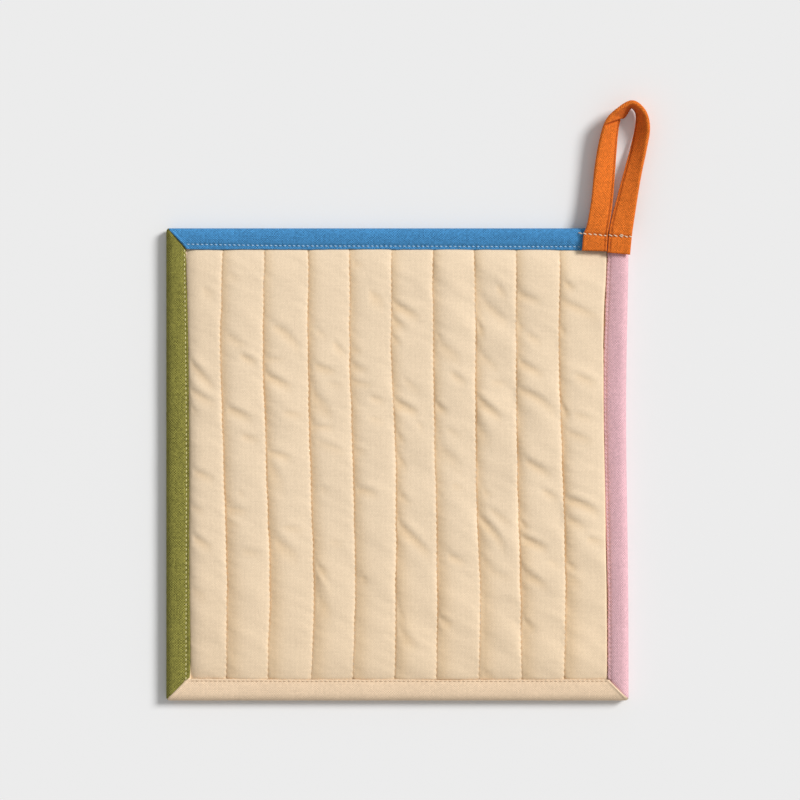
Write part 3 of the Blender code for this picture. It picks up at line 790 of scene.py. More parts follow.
def thread_material(name, colour):
    """Twisted sewing thread: bright strands with dark lines winding between them."""
    material, nodes, place = new_material(name)
    split = nodes.add("ShaderNodeSeparateXYZ", {0: place}).outputs
    winding = nodes.maths("ADD", split["X"], nodes.times(split["Y"], 1.2))
    wave = nodes.maths("SINE", nodes.times(winding, 2 * math.pi / STRAND_PITCH))
    strand = nodes.maths("MULTIPLY_ADD", wave, 0.5, 0.5)
    tone = nodes.maths("MULTIPLY_ADD", strand, 0.25, 0.82)
    soft = {"Roughness": 0.75, "Specular IOR Level": 0.2}
    return finish_material(material, nodes, tuple(colour), tone, strand, soft)


# ---------------------------------------------------------------------------------------------------
# Quilted panel


def pillow(part):
    """Rise across the back of a channel, 0 at its seams: (1 - |2p - 1|^flatness)^shoulder."""
    return (1 - np.abs(2 * part - 1) ** CROWN_FLATNESS) ** CROWN_SHOULDER


def crease_relief(part, y, width, crease):
    """One crease as a trough with a steep upper wall, a gentle lower one and a low swelling on each side.

    Its line runs from part start to part end across the channel. At part p of the way along, it has
    fallen by p^bend of its fall. Square to the line its walls and swellings are bell curves, and along
    it they fade as sin(pi p^0.65)^0.8.
    """
    along = np.clip((part - crease.start) / (crease.end - crease.start), 0, 1)
    line = (crease.height - crease.fall * along**crease.bend) * MM
    run = (crease.end - crease.start) * width
    lean = crease.fall * MM * crease.bend * np.maximum(along, 0.05) ** (crease.bend - 1) / run
    distance = (y - line) / np.sqrt(1 + lean**2) / (crease.breadth * MM)
    relief = -hill(distance, 0, np.where(distance > 0, UPPER_WALL, LOWER_WALL))
    for height, middle, spread in SWELLINGS:
        relief = relief + height * hill(distance, middle, spread)
    fade = np.sin(math.pi * along**0.65) ** 0.8
    return CREASE_DEPTH * crease.depth * MM * fade * relief


def creases_relief(channel, part, y, width):
    """All the creases of the table together, each in its own channel."""
    relief = np.zeros_like(y)
    for row in CREASES:
        crease = Crease(*row)
        here = channel == crease.channel - 1
        relief[here] += crease_relief(part[here], y[here], width[here], crease)
    return relief


def past_hole(y, seam):
    """How far a height is from the nearest stitch hole of a seam, along it."""
    phase = ROW_SPACING * (seam % ROWS_PER_STITCH)
    return np.abs((y - phase + 0.5 * QUILTING_PITCH) % QUILTING_PITCH - 0.5 * QUILTING_PITCH)


def seam_holes(y, seam, distance):
    """How near a point is to one of a seam's stitch holes: 1 in it, and 0 about 1 mm away."""
    strength = 0.7 + 0.3 * soft_noise(y, seam * MM, 5.1 * MM, MM, 21)
    return hill(past_hole(y, seam), 0, HOLE_LENGTH) * hill(distance, 0, HOLE_WIDTH) * strength


def channel_crown(channel, part):
    """Height of a channel's crown, eased half way to its neighbours' at the seams between them."""
    crowns = np.array([row[6] for row in SEAMS_MM] + [LAST_CROWN_MM]) * MM
    beside = np.concatenate([crowns[:1], crowns, crowns[-1:]])
    crown = crowns[channel]
    to_left = hill(part, 0, 0.3) * (beside[channel] - crown) / 2
    to_right = hill(part, 1, 0.3) * (beside[channel + 2] - crown) / 2
    return crown + to_left + to_right


def channel_drop(channel, y, left, right):
    """How far a channel's front lies below its crown, from its distances to the seams beside it.

    From the left it is drop (1 - tanh(left / fade)), and to the right drop e^-(right / fade). The outer
    lips have drops of their own.
    """
    drop = joined(HEIGHTS_MM, DROPS_MM, y) * (1 + 0.2 * soft_noise(y, channel * MM, 30 * MM, MM, 31))
    from_left = np.where(channel == 0, LEFT_LIP_DROP, drop) * (1 - np.tanh(left / LEFT_FADE))
    to_right = RIGHT_DROP * np.exp(-right / RIGHT_FADE)
    at_lip = RIGHT_LIP_DROP * np.exp(-right / RIGHT_LIP_FADE)
    return from_left + np.where(channel == CHANNELS - 1, at_lip, to_right)


def end_drop(y, from_end):
    """How far the front tapers down to its ends, as (1 - distance / taper)^2.6, and how far it is domed."""
    short = np.clip(1 - from_end / END_TAPER, 0, 1)
    low_end = LOW_END_DOMING * np.clip(-y / HALF_LENGTH, 0, 1) ** 3
    return END_DROP * short**2.6 + DOMING * (y / HALF_LENGTH) ** 2 + low_end


def panel_unevenness(channel, x, y, nearest_seam):
    """Soft noise on slanting axes: drag lines, more beside the seams, and swellings, more to the right."""
    along = x * math.cos(DRAG_SLANT) - y * math.sin(DRAG_SLANT) + 40 * channel * MM
    up = x * math.sin(DRAG_SLANT) + y * math.cos(DRAG_SLANT)
    drag = soft_noise(along, up, 9 * MM, 2.6 * MM, 11) * (0.05 + 0.14 * np.exp(-nearest_seam / DRAG_REACH))
    broad_drag = soft_noise(along, up, 18 * MM, 5 * MM, 13) * 0.12
    swell = soft_noise(along, up, 20 * MM, 10 * MM, 12) * (0.2 + 0.32 * soft_step(x, -40 * MM, 40 * MM))
    return (drag + broad_drag + swell) * MM


def right_lip_gap(y):
    """How far the cloth stands back from the right lip: most high up, less low down, nothing between."""
    high_up = soft_step(y, 38 * MM, 66 * MM) * (1 - 0.3 * soft_step(y, 76 * MM, 86 * MM))
    low_down = soft_step(-y, 5 * MM, 45 * MM)
    return (0.75 * high_up + 0.5 * low_down) * MM


def clear_of(distance, fade=0.4 * MM):
    """0 under a strip, and 1 - e^-(distance / fade) beside it."""
    return 1 - np.exp(-np.maximum(distance, 0) / fade)


def panel_painted_shade(channel, y, left, right, relief, holes, clear):
    """How much painted shade the front cloth takes: from 0 to 1 in its folds, and more in a gap.

    Creases, stitch holes, the flank to the right of a seam, which faces away from the light, and the cloth
    under a lip are painted shaded, and all of it is painted a little darker towards the bottom. Added to
    that are painted shadow lines, bell curves across, along the seams and in the gap at the right lip.
    """
    first = channel == 0
    # Painted shade on the flank to the right of each seam, which faces away from the light.
    flank_width = (3.2 + 2.4 * soft_step(-y, -10 * MM, 80 * MM)) * MM
    flank = np.where(first, 0, hill(left, 0, flank_width))
    # Painted shade in creases and stitch holes, under the lips and a little all over towards the bottom.
    folds = CREASE_SHADE * np.clip(-2 * relief / MM, 0, 1) + HOLE_SHADE * holes + flank
    folds = np.clip(folds + LIP_SHADE * (1 - clear), 0, 1)
    folds = np.clip(folds + BOTTOM_SHADE * soft_step(-y, 10 * MM, 100 * MM), 0, 1)
    # Painted shadow lines: in the gap under the right lip and along both sides of each seam.
    in_gap = (0.95 - 0.75 * right_lip_gap(y) / MM) * hill(right, 0, 0.5 * MM)
    before_seam = 0.5 * hill(right, 0, 0.12 * MM)
    past_seam = np.where(first, 0, 0.25 * hill(left, 0, 0.3 * MM))
    return folds + np.where(channel == CHANNELS - 1, in_gap, before_seam) + past_seam


def panel_front(channel, part, y, x, width):
    """Height of the front cloth, and how much painted shade it takes there.

    Each channel drops from its crown to its seams and its ends. Stitch holes and a furrow draw it down
    along a seam, and creases and unevenness come on top, calmed beside the seams. Where a strip lies on
    it, it is held flat.
    """
    first = channel == 0
    last = channel == CHANNELS - 1
    left = part * width
    right = (1 - part) * width
    nearest_seam = np.minimum(left, right)
    below_top = HALF_LENGTH - along_strip("top", "lip", x) - y
    above_bottom = y - along_strip("bottom", "lip", x) + HALF_LENGTH
    from_end = np.maximum(np.minimum(below_top, above_bottom), 0)

    holes = np.where(first, 0, seam_holes(y, channel, left))
    holes = holes + np.where(last, 0, seam_holes(y, channel + 1, right))
    relief = creases_relief(channel, part, y, width)
    height = channel_crown(channel, part) - channel_drop(channel, y, left, right) - end_drop(y, from_end)
    height = height - FURROW_DEPTH * np.exp(-left / FURROW_FADE) - HOLE_DEPTH * holes
    uneven = panel_unevenness(channel, x, y, nearest_seam)
    height = height + (relief + uneven) * clear_of(nearest_seam, 1.2 * MM)

    clear = clear_of(below_top + LIP_OVERHANG) * clear_of(above_bottom + 1.7 * LIP_OVERHANG)
    clear = clear * np.where(first, clear_of(left + LIP_OVERHANG), 1)
    clear = clear * np.where(last, clear_of(right - right_lip_gap(y), 0.12 * MM), 1)
    hollow = panel_painted_shade(channel, y, left, right, relief, holes, clear)
    return HELD_FRONT + (height - HELD_FRONT) * clear, hollow


def panel_columns():
    """Channel and part across it of each front column, closer together beside the seams.

    With t even across a channel, the part is t - 0.75 sin(2 pi t) / (2 pi). The last column lies beside
    the next seam, at the top of the wall that drops to it.
    """
    count = 26
    even = np.arange(count) / count
    part = np.append(even - 0.75 * np.sin(2 * math.pi * even) / (2 * math.pi), 0.998)
    channel = np.repeat(np.arange(CHANNELS), len(part))
    return np.append(channel, CHANNELS - 1), np.append(np.tile(part, CHANNELS), 1.0)


def panel_rows():
    """Heights of the panel's rows: evenly spaced, and closer together under the top and bottom lips."""
    count = int((HALF_LENGTH - EDGE_INSET) / ROW_SPACING)
    near_lip = np.linspace(*LIP_ROW_HEIGHTS_MM, LIP_ROWS) * MM
    rows = np.sort(np.concatenate([np.arange(-count, count + 1) * ROW_SPACING, near_lip, -near_lip]))
    return rows[np.append(True, np.diff(rows) > 0.05 * MM)]


def panel_grid():
    """The padded panel as closed outlines, one at each row, with its cloth coordinates and its painted
    shade.

    An outline goes over the front from left to right and back underneath. Between two stitch holes a
    seam's line bulges to the right by a squared sine. The back drops from the seams to the table as the
    pillow's curve does, cut off flat, and rises again by a quarter circle towards both ends.
    """
    rows = panel_rows()
    lines = channel_lines(rows)
    for seam in range(1, CHANNELS):
        lines[:, seam] += SEAM_SCALLOP * np.sin(math.pi * past_hole(rows, seam) / QUILTING_PITCH) ** 2
    channel, part = panel_columns()
    width = (lines[:, 1:] - lines[:, :-1])[:, channel]
    x = lines[:, channel] + width * part
    y = np.repeat(rows[:, None], x.shape[1], axis=1)
    channel_grid = np.broadcast_to(channel, x.shape)
    part_grid = np.broadcast_to(part, x.shape)
    front, hollow = panel_front(channel_grid, part_grid, y, x, width)

    every = slice(0, None, FRONT_COLUMNS_PER_BACK)
    short_of_lip = np.clip((HALF_LENGTH - BINDING_WIDTH - np.abs(rows)) / END_TAPER, 0, 1)
    fullness = np.sqrt(1 - (1 - short_of_lip) ** 2)[:, None]
    pressed = np.minimum(1, pillow(part[every]) * BACK_PRESSING) * np.minimum(1, fullness * BACK_PRESSING)
    back = SEAM_BACK * (1 - pressed)

    nose = (HELD_FRONT - HELD_BACK) / 4
    middle = (HELD_FRONT + HELD_BACK) / 2
    left = np.full_like(rows, -HALF_WIDTH + EDGE_INSET)
    right = HALF_WIDTH - EDGE_INSET - right_edge_bow(rows)

    def column(x_line, height):
        return np.stack([x_line, rows, np.full_like(rows, height)], axis=1)[:, None]

    before = [
        column(left, middle + nose),
        column(left + EDGE_ROUND, HELD_FRONT),
        column(lines[:, 0] - LIP_OVERHANG, HELD_FRONT),
    ]
    after = [
        column(lines[:, -1] + LIP_OVERHANG, HELD_FRONT),
        column(right - EDGE_ROUND, HELD_FRONT),
        column(right, middle + nose),
        column(right, middle - nose),
        column(right - EDGE_ROUND, HELD_BACK),
        np.stack([x[:, every], y[:, every], back], axis=2)[:, ::-1],
        column(left + EDGE_ROUND, HELD_BACK),
        column(left, middle - nose),
    ]
    sections = np.concatenate([*before, np.stack([x, y, front], axis=2), *after], axis=1)
    hollow = np.pad(hollow, ((0, 0), (len(before), 0)))
    return sections, sections[..., 1], closed(sections[..., 0]), hollow


def quilting_threads():
    """Ends and upward directions of the stitches in the nine seams, front and back."""
    count = int(HALF_LENGTH / QUILTING_PITCH)
    steps = (np.arange(-count, count) + 0.5) * QUILTING_PITCH
    starts = []
    ends = []
    ups = []
    for seam in range(1, CHANNELS):
        middles = steps + ROW_SPACING * (seam % ROWS_PER_STITCH)
        middles = middles[np.abs(middles) < HALF_LENGTH - BINDING_WIDTH - 0.6 * MM]
        for side, points in ((-1, starts), (1, ends)):
            y = middles + side * QUILTING_STITCH / 2
            lines = channel_lines(y)
            x = lines[:, seam] + 0.3 * MM
            width = (lines[:, seam + 1] - x)[:, None]
            channel = np.full_like(width, seam, dtype=int)
            front, _ = panel_front(channel, np.zeros_like(width), y[:, None], x[:, None], width)
            points.append(np.stack([x, y, front[:, 0] + 0.05 * MM], axis=1))
            points.append(np.stack([x, y, np.full_like(x, SEAM_BACK - 0.05 * MM)], axis=1))
        ups.append(np.repeat(FACINGS, len(middles), axis=0))
    return np.concatenate(starts), np.concatenate(ends), np.concatenate(ups)


# ---------------------------------------------------------------------------------------------------
# Binding strips


def strip_half_run(edge):
    """Half the length of the side that a strip lies along."""
    return HALF_WIDTH if edge in ("top", "bottom") else HALF_LENGTH


def strip_place(edge, run, inward):
    """X and y of a point of the strip along one edge, from its run along the edge and distance inwards.

    Near a corner of the square the point is drawn in, so that the corner's square of side r becomes a
    quarter of a disc: it moves towards the disc's centre by the larger of its two offsets over their
    length.
    """
    x, y = {
        "top": (run, HALF_LENGTH - inward),
        "left": (inward - HALF_WIDTH, run),
        "bottom": (run, inward - HALF_LENGTH),
        "right": (HALF_WIDTH - inward - right_edge_bow(run), run),
    }[edge]
    over_x = np.abs(x) - (HALF_WIDTH - CORNER_RADIUS)
    over_y = np.abs(y) - (HALF_LENGTH - CORNER_RADIUS)
    cornered = (over_x > 0) & (over_y > 0)
    scale = np.maximum(over_x, over_y) / np.maximum(np.hypot(over_x, over_y), 1e-9)
    x = np.where(cornered, np.sign(x) * (HALF_WIDTH - CORNER_RADIUS + over_x * scale), x)
    y = np.where(cornered, np.sign(y) * (HALF_LENGTH - CORNER_RADIUS + over_y * scale), y)
    return x, y


def strip_profile():
    """The strip's outer skin as (distance in from the outer edge, height above its middle, arc length).

    It runs from the front lip to the fold, half an ellipse, and on to the back lip.
    """
    flat = np.concatenate([np.linspace(10.0, 7.4, 10), np.linspace(6.9, 4.9, 4)]) * MM
    turn = np.linspace(0, math.pi, 17)
    inward = np.concatenate([flat, BINDING_REACH * (1 - np.sin(turn)), flat[::-1]])
    level = np.full_like(flat, BINDING_RISE)
    height = np.concatenate([level, BINDING_RISE * np.cos(turn), -level])
    steps = np.hypot(np.diff(inward), np.diff(height))
    return inward, height, np.concatenate([[0], np.cumsum(steps)])


def strip_down(edge, run, inward):
    """How far the strip's front lies below its highest line, and how deep its stitches' groove is (mm).

    It is domed to the lip, which stands up as a low rim, and drawn in by the stitches, most at each
    stitch's ends.
    """
    strip = STRIPS[edge]
    lip = along_strip(edge, "lip", run)
    dome = STRIP_DOME * np.clip((inward - BINDING_REACH) / (lip - BINDING_REACH), 0, 1) ** 2
    beat = 0.5 + 0.5 * np.cos(2 * math.pi * run / TOPSTITCH_PITCH)
    from_stitches = inward - along_strip(edge, "stitches", run)
    groove = strip["groove"] * hill(from_stitches, 0, 0.7 * MM) * (1 + beat)
    uneven = 0.13 * soft_noise(run, inward, 13 * MM, 7 * MM, strip["seed"] + 2)
    drag = 0.09 * soft_noise(run + 0.8 * inward, inward, 2.6 * MM, 6 * MM, strip["seed"] + 3)
    drag = drag * soft_step(inward, 4 * MM, 9 * MM)
    rim = LIP_RIM * hill(lip - inward, -0.1 * MM, 0.65 * MM)
    return dome - rim + (groove + uneven + drag) * MM, groove


def strip_width(edge, run, inward):
    """Distances in from the outer edge, stretched towards the lip to the strip's own width there."""
    seed = STRIPS[edge]["seed"]
    wander = 0.12 * soft_noise(run, 0 * run, 21 * MM, 1.0, seed)
    wander = wander + 0.07 * soft_noise(run, 0 * run, 3.1 * MM, 1.0, seed + 1)
    widening = along_strip(edge, "lip", run) - PROFILE_WIDTH + wander * MM
    return inward + widening * soft_step(inward, 3 * MM, 10 * MM)


def rounded_lip(outer, inner):
    """Columns on half a circle from the outer skin to the inner one, bulging away from the fold.

    The first axis of both is the distance in from the outer edge and the height.
    """
    turn = np.linspace(0, math.pi, LIP_COLUMNS + 2)[1:-1]
    half = (outer - inner)[..., None] / 2
    bulge = np.hypot(*half) * np.sin(turn)
    return (outer + inner)[..., None] / 2 + half * np.cos(turn) + np.stack([bulge, 0 * bulge])


def strip_grid(edge):
    """One folded strip as closed outlines of its wall, with its cloth coordinates and its painted shade.

    The inner skin is the outer one moved in by the wall, and half circles close both lips. A mitre that
    lies over its neighbour's reaches across it, stands up as a rim and thins; one that lies under stops
    short and dips.
    """
    half_run = strip_half_run(edge)
    near_end = np.array([0, 0.08, 0.2, 0.35, 0.55, 0.8, 1.1, 1.5, 2.0, 2.6]) * MM
    middle = np.linspace(3.2 * MM - half_run, half_run - 3.2 * MM, 400)
    part = np.concatenate([near_end - half_run, middle, half_run - near_end[::-1]])[:, None] / half_run
    inward, height, arc = strip_profile()
    inward = np.broadcast_to(inward, (len(part), len(inward)))

    def mitre(value):
        return np.where(part < 0, STRIPS[edge]["first"][value], STRIPS[edge]["last"][value])

    lap = np.where(mitre("laps"), MITRE_LAP, -MITRE_GAP)

    def cut_at(distance):
        """How far from the strip's middle its mitre lies at a distance in from the outer edge."""
        return np.minimum(half_run - mitre("short") * MM - mitre("slope") * distance + lap, half_run)

    cut = cut_at(strip_width(edge, part * cut_at(inward), inward))
    run = part * cut
    from_end = (1 - np.abs(part)) * cut
    inward_here = strip_width(edge, run, inward)

    down, groove = strip_down(edge, run, inward_here)
    rim = MITRE_RIM * hill(from_end, 0.8 * MM, 0.7 * MM)
    dip = MITRE_RIM * hill(from_end, 0, 1.2 * MM)
    front = height - (down + np.where(mitre("laps"), -rim, dip)) * np.clip(height / BINDING_RISE, 0, 1) ** 2
    rear = height + (0.25 * soft_step(inward, 4 * MM, 10 * MM) + 0.5 * groove) * MM
    outer = np.stack([inward_here, np.where(height > 0, front, rear)])
    slope_in, slope_up = np.gradient(outer, axis=2)
    wall = BINDING_WALL * (1 - 0.35 * hill(from_end, 0, 1.5 * MM)) / np.hypot(slope_in, slope_up)
    inner = outer + wall * np.stack([-slope_up, slope_in])
    rear_lip = rounded_lip(outer[..., -1], inner[..., -1])
    front_lip = rounded_lip(outer[..., 0], inner[..., 0])
    walls = np.concatenate([outer, rear_lip, inner[..., ::-1], front_lip[..., ::-1]], axis=2)

    closing = ((0, 0), (0, LIP_COLUMNS))
    along = np.concatenate([np.pad(run, closing, "edge"), np.pad(run[:, ::-1], closing, "edge")], axis=1)
    one_way = np.append(arc, arc[-1] + LIP_STEP * np.arange(1, LIP_COLUMNS + 1))
    around = np.concatenate([one_way, one_way + one_way[-1] + LIP_STEP])
    around = np.append(around, around[-1] + LIP_STEP)
    x, y = strip_place(edge, along, walls[0])
    grid = np.stack([x, y, walls[1] + BINDING_MIDDLE], axis=2)
    # The last value is the painted shade in the stitches' groove.
    return grid, along, around, np.clip(groove * 1.6, 0, 1)


def strip_threads(edge):
    """Ends and upward directions of the topstitches in one strip, front and back."""
    strip = STRIPS[edge]
    half_run = strip_half_run(edge)
    count = int(half_run / TOPSTITCH_PITCH)
    middles = (np.arange(-count, count) + 0.5) * TOPSTITCH_PITCH
    middles = middles[(middles > FIRST_STITCH - half_run) & (middles < half_run - LAST_STITCH)]

    def ends(side):
        """The first ends of the stitches where side is -1, and the last ones where it is 1."""
        run = middles + side * strip["dash"] * MM / 2
        inward = along_strip(edge, "stitches", run) + side * strip["slant"] * MM
        front = BINDING_FRONT - strip_down(edge, run, inward)[0]
        back = np.full_like(run, BINDING_BACK + 0.3 * MM)
        x, y = strip_place(edge, run, inward)
        return np.concatenate([np.stack([x, y, level], axis=1) for level in (front, back)])

    return ends(-1), ends(1), np.repeat(FACINGS, len(middles), axis=0)


# ---------------------------------------------------------------------------------------------------
# Hanging loop


def tape_path():
    """Inner edge, outer edge, unit normal and distance along the tape, and where its left shoulder lies.

    The edges are smooth curves through the named stations. The normal stands square to the width and
    to the run, and points up at the left end. Where the legs are sewn down they lie closer together.
    """
    edges = np.array([row[1:] for row in TAPE_STATIONS_MM]) * MM
    stations = np.arange(len(edges), dtype=float)
    along = np.linspace(0, stations[-1], 3000)
    smooth = smooth_between(stations, edges, along)
    closer = LEG_CLOSING * (1 - soft_step(smooth[:, 1], 110 * MM, 124 * MM))
    smooth[:, 0] += closer * np.sign(stations[-1] / 2 - along)
    middle = (smooth[:, :3] + smooth[:, 3:]) / 2
    gone = np.append(0, np.cumsum(np.linalg.norm(np.diff(middle, axis=0), axis=1)))
    near_end = np.array([0, 0.1, 0.25, 0.45, 0.7]) * MM
    inside = np.linspace(1 * MM, gone[-1] - 1 * MM, TAPE_ROWS)
    wanted = np.concatenate([near_end, inside, gone[-1] - near_end[::-1]])
    inner, outer = (interpolated(wanted, gone, columns) for columns in (smooth[:, :3], smooth[:, 3:]))
    normal = np.cross(np.gradient((inner + outer) / 2, wanted, axis=0), outer - inner)
    normal *= np.sign(normal[0, 2])
    normal /= np.linalg.norm(normal, axis=1, keepdims=True)
    station = [row[0] for row in TAPE_STATIONS_MM].index("left shoulder")
    shoulder = gone[round(station / stations[-1] * (len(gone) - 1))]
    return inner, outer, normal, wanted, shoulder


def interpolated(wanted, places, points):
    """Points at the wanted places, on straight lines between the given ones."""
    return np.stack([np.interp(wanted, places, column) for column in points.T], axis=1)


def cross_seam():
    """The cross seam's start, its forward direction and the direction square to it, seen from above."""
    start, end = np.array(CROSS_SEAM_MM) * MM
    forward = (end - start) / np.linalg.norm(end - start)
    return start, forward, np.array([-forward[1], forward[0]])


def tape_upper(body, gone, from_inner, width, shoulder):
    """Height of the tape's upper face above its middle layer, and how much painted shade it takes, from 0
    to 1.

    It is drawn down along the edge stitching and under the cross seam, folded at the left shoulder
    with a swelling past the fold, and gathered in small pleats along the inner edge before the top.
    body holds the middle layer's points. Depths are in millimetres here.
    """
    beat = 0.5 + 0.5 * np.cos(2 * math.pi * gone / EDGE_STITCH_PITCH)
    groove = hill(from_inner, EDGE_STITCH_INWARD, 0.45 * MM) * (0.22 + 0.2 * beat)
    seam_start, _, seam_up = cross_seam()
    cross = 0.5 * hill((body[..., :2] - seam_start) @ seam_up, 0, 0.7 * MM)
    part = from_inner / width
    past_fold = gone - shoulder - (0.5 - part) * 3 * MM
    fold = 0.75 * hill(past_fold, 0, 0.75 * MM) - 0.45 * hill(past_fold, 2.2 * MM, 1.5 * MM)
    pleats = 0.3 * (0.5 + 0.5 * np.sin(2 * math.pi * gone / PLEAT_PITCH + 6 * part))
    pleats = pleats * hill(past_fold, 7 * MM, 3.5 * MM) * (1 - soft_step(from_inner, 1 * MM, 4.5 * MM))
    soft = 0.16 * soft_noise(gone, from_inner, 9 * MM, 5 * MM, 301)
    soft = soft + 0.08 * soft_noise(gone, from_inner, 3.5 * MM, 3 * MM, 302)
    # Painted shade in the edge stitches' groove, past the fold at the shoulder and under the cross seam.
    hollow = np.clip(groove * 1.8 + np.clip(fold, 0, 1) + 0.5 * cross, 0, 1)
    return TAPE_THICKNESS / 2 - (groove + cross + fold + pleats - soft) * MM, hollow


def tape_grid():
    """The folded tape as closed outlines, with its cloth coordinates and its painted shade.

    An outline is flat with rounded edges, and both ends of the tape are rounded by quarter circles too.
    """
    inner, outer, normal, gone, shoulder = tape_path()
    width = np.linalg.norm(outer - inner, axis=1)[:, None]
    near_inner = [0.0, 0.008, 0.024, 0.05, 0.08, 0.11, 0.14]
    near_outer = [0.92, 0.95, 0.975, 0.99, 1.0]
    across = np.concatenate([near_inner, np.linspace(0.18, 0.88, 15), near_outer])
    from_inner = across * width
    place = np.broadcast_to(gone[:, None], from_inner.shape)

    def rounded(distance, radius):
        return np.sqrt(np.clip(1 - (1 - np.clip(distance / radius, 0, 1)) ** 2, 0, 1))

    fullness = rounded(from_inner, 0.6 * MM) * rounded((1 - across) * width, 0.9 * MM)
    fullness = fullness * (0.2 + 0.8 * rounded(np.minimum(place, gone[-1] - place), 0.7 * MM))
    body = inner[:, None] + (outer - inner)[:, None] * across[:, None]
    upper, hollow = tape_upper(body, place, from_inner, width, shoulder)
    top = body + normal[:, None] * (upper * fullness)[..., None]
    bottom = body - normal[:, None] * (TAPE_THICKNESS / 2 * fullness)[..., None]
    grid = np.concatenate([top, bottom[:, -2:0:-1]], axis=1)
    steps = np.linalg.norm(np.diff(closed(grid), axis=1), axis=2)
    around = np.concatenate([np.zeros_like(width), np.cumsum(steps, axis=1)], axis=1)
    return grid, np.broadcast_to(gone[:, None], grid.shape[:2]), around, hollow


def edge_threads():
    """Ends and upward directions of the stitches that close the tape along its inner edge."""
    inner, outer, normal, gone, shoulder = tape_path()
    middles = (np.arange(1, int(gone[-1] / EDGE_STITCH_PITCH)) + 0.5) * EDGE_STITCH_PITCH

    def at(place):
        """Points on the upper face over the seam, and the normals there."""
        start, end, upward = (interpolated(place, gone, points) for points in (inner, outer, normal))
        width = np.linalg.norm(end - start, axis=1)
        body = start + (end - start) / width[:, None] * EDGE_STITCH_INWARD
        upper, _ = tape_upper(body, place, np.full_like(place, EDGE_STITCH_INWARD), width, shoulder)
        return body + upward * upper[:, None], upward

    starts, ups = at(middles - EDGE_STITCH / 2)
    ends, _ = at(middles + EDGE_STITCH / 2)
    return starts, ends, ups


def cross_threads():
    """The row of slanting stitches across both legs, one of them double, with a tail at each end.

    Each row of the table is one thread: how far along the seam, to its left and above the table it
    starts, and the same for its end (mm).
    """
    threads = np.array(
        [
            (-1.7, 0.5, 6.4, 0.1, -0.1, 8.4),
            (0.3, 0.35, 8.6, 2.0, -0.25, 8.6),
            (2.7, 0.3, 8.6, 4.4, -0.35, 8.6),
            (5.0, 0.25, 8.6, 6.7, -0.3, 8.6),
            (7.4, 0.2, 8.6, 9.2, -0.45, 8.6),
            (9.8, -0.1, 8.6, 11.1, -0.35, 8.5),
            (12.0, 0.3, 8.6, 13.8, -0.3, 8.6),
            (14.3, 0.35, 8.6, 16.1, -0.35, 8.6),
            (16.8, 0.25, 8.6, 18.6, -0.45, 8.6),
            (17.2, 0.75, 8.7, 18.9, 0.3, 8.7),
            (19.2, 0.2, 8.6, 20.9, -0.35, 8.6),
            (21.3, 0.2, 8.6, 22.7, -0.1, 8.3),
        ]
    )
    start, forward, beside = cross_seam()

    def placed(columns):
        flat = start + columns[:, :1] * MM * forward + columns[:, 1:2] * MM * beside
        return np.concatenate([flat, columns[:, 2:] * MM], axis=1)

    return placed(threads[:, :3]), placed(threads[:, 3:]), np.tile(FACINGS[0], (len(threads), 1))


# ---------------------------------------------------------------------------------------------------
# Settings


def colour_setting(name, description, default):
    """A colour picker."""
    return bpy.props.FloatVectorProperty(
        name=name, description=description, default=default, subtype="COLOR", size=3, min=0, max=1
    )


def length_setting(name, description, default):
    """A length in metres."""
    return bpy.props.FloatProperty(
        name=name, description=description, default=default, unit="LENGTH", precision=5
    )


def angle_setting(name, description, degrees):
    """An angle, kept in radians."""
    return bpy.props.FloatProperty(
        name=name, description=description, default=degrees * DEGREE, subtype="ANGLE"
    )


class PotHolderCloth(bpy.types.PropertyGroup):
    """Colours of the cloths and threads"""

    panel: colour_setting("Panel", "Undyed cotton of the quilted panel", (0.86, 0.68, 0.48))
    blue: colour_setting("Blue", "Binding along the top", (0.062, 0.245, 0.50))
    green: colour_setting("Green", "Binding along the left", (0.215, 0.2, 0.044))
    cream: colour_setting("Cream", "Binding along the bottom", (0.795, 0.602, 0.416))
    pink: colour_setting("Pink", "Binding along the right", (0.735, 0.445, 0.485))
    orange: colour_setting("Orange", "Hanging loop", (0.70, 0.164, 0.021))
    blue_thread: colour_setting("Blue thread", "Topstitches of the blue strip", (0.42, 0.64, 0.85))
    green_thread: colour_setting("Green thread", "Topstitches of the green strip", (0.72, 0.66, 0.32))
    cream_thread: colour_setting("Cream thread", "Topstitches of the cream strip", (0.64, 0.45, 0.29))
    pink_thread: colour_setting("Pink thread", "Topstitches of the pink strip", (0.82, 0.55, 0.57))
    orange_thread: colour_setting("Orange thread", "Edge stitches of the loop", (0.30, 0.06, 0.01))
    quilting_thread: colour_setting("Quilting thread", "Stitches of the nine seams", (0.58, 0.50, 0.41))
    cross_thread: colour_setting("Cross thread", "Stitches across the loop's ends", (0.92, 0.68, 0.46))


class PotHolderStage(bpy.types.PropertyGroup):
    """Floor, light and camera"""

    floor: colour_setting("Floor", "Plain pale floor", (0.85, 0.85, 0.85))
    sun_strength: bpy.props.FloatProperty(name="Sun", description="Strength of the key light", default=2.89)
    sun_angle: angle_setting("Softness", "Apparent width of the key light", 20)
    sun_height: angle_setting("Elevation", "Key light above the table", 38)
    sun_bearing: angle_setting("Bearing", "Key light, anticlockwise from +X", 30)
    fill: bpy.props.FloatProperty(name="Fill", description="Light from all round", default=0.42)
    view_width: length_setting("View width", "Width of the picture on the object", 365.4 * MM)
    view_height: length_setting("View height", "Height of the object's face above the table", 6 * MM)
    view_centre: bpy.props.FloatVectorProperty(
        name="View centre", description="Point under the camera", size=2, default=(-3.58 * MM, 0.45 * MM),
        unit="LENGTH", precision=5,
    )


# ---------------------------------------------------------------------------------------------------
# Operators


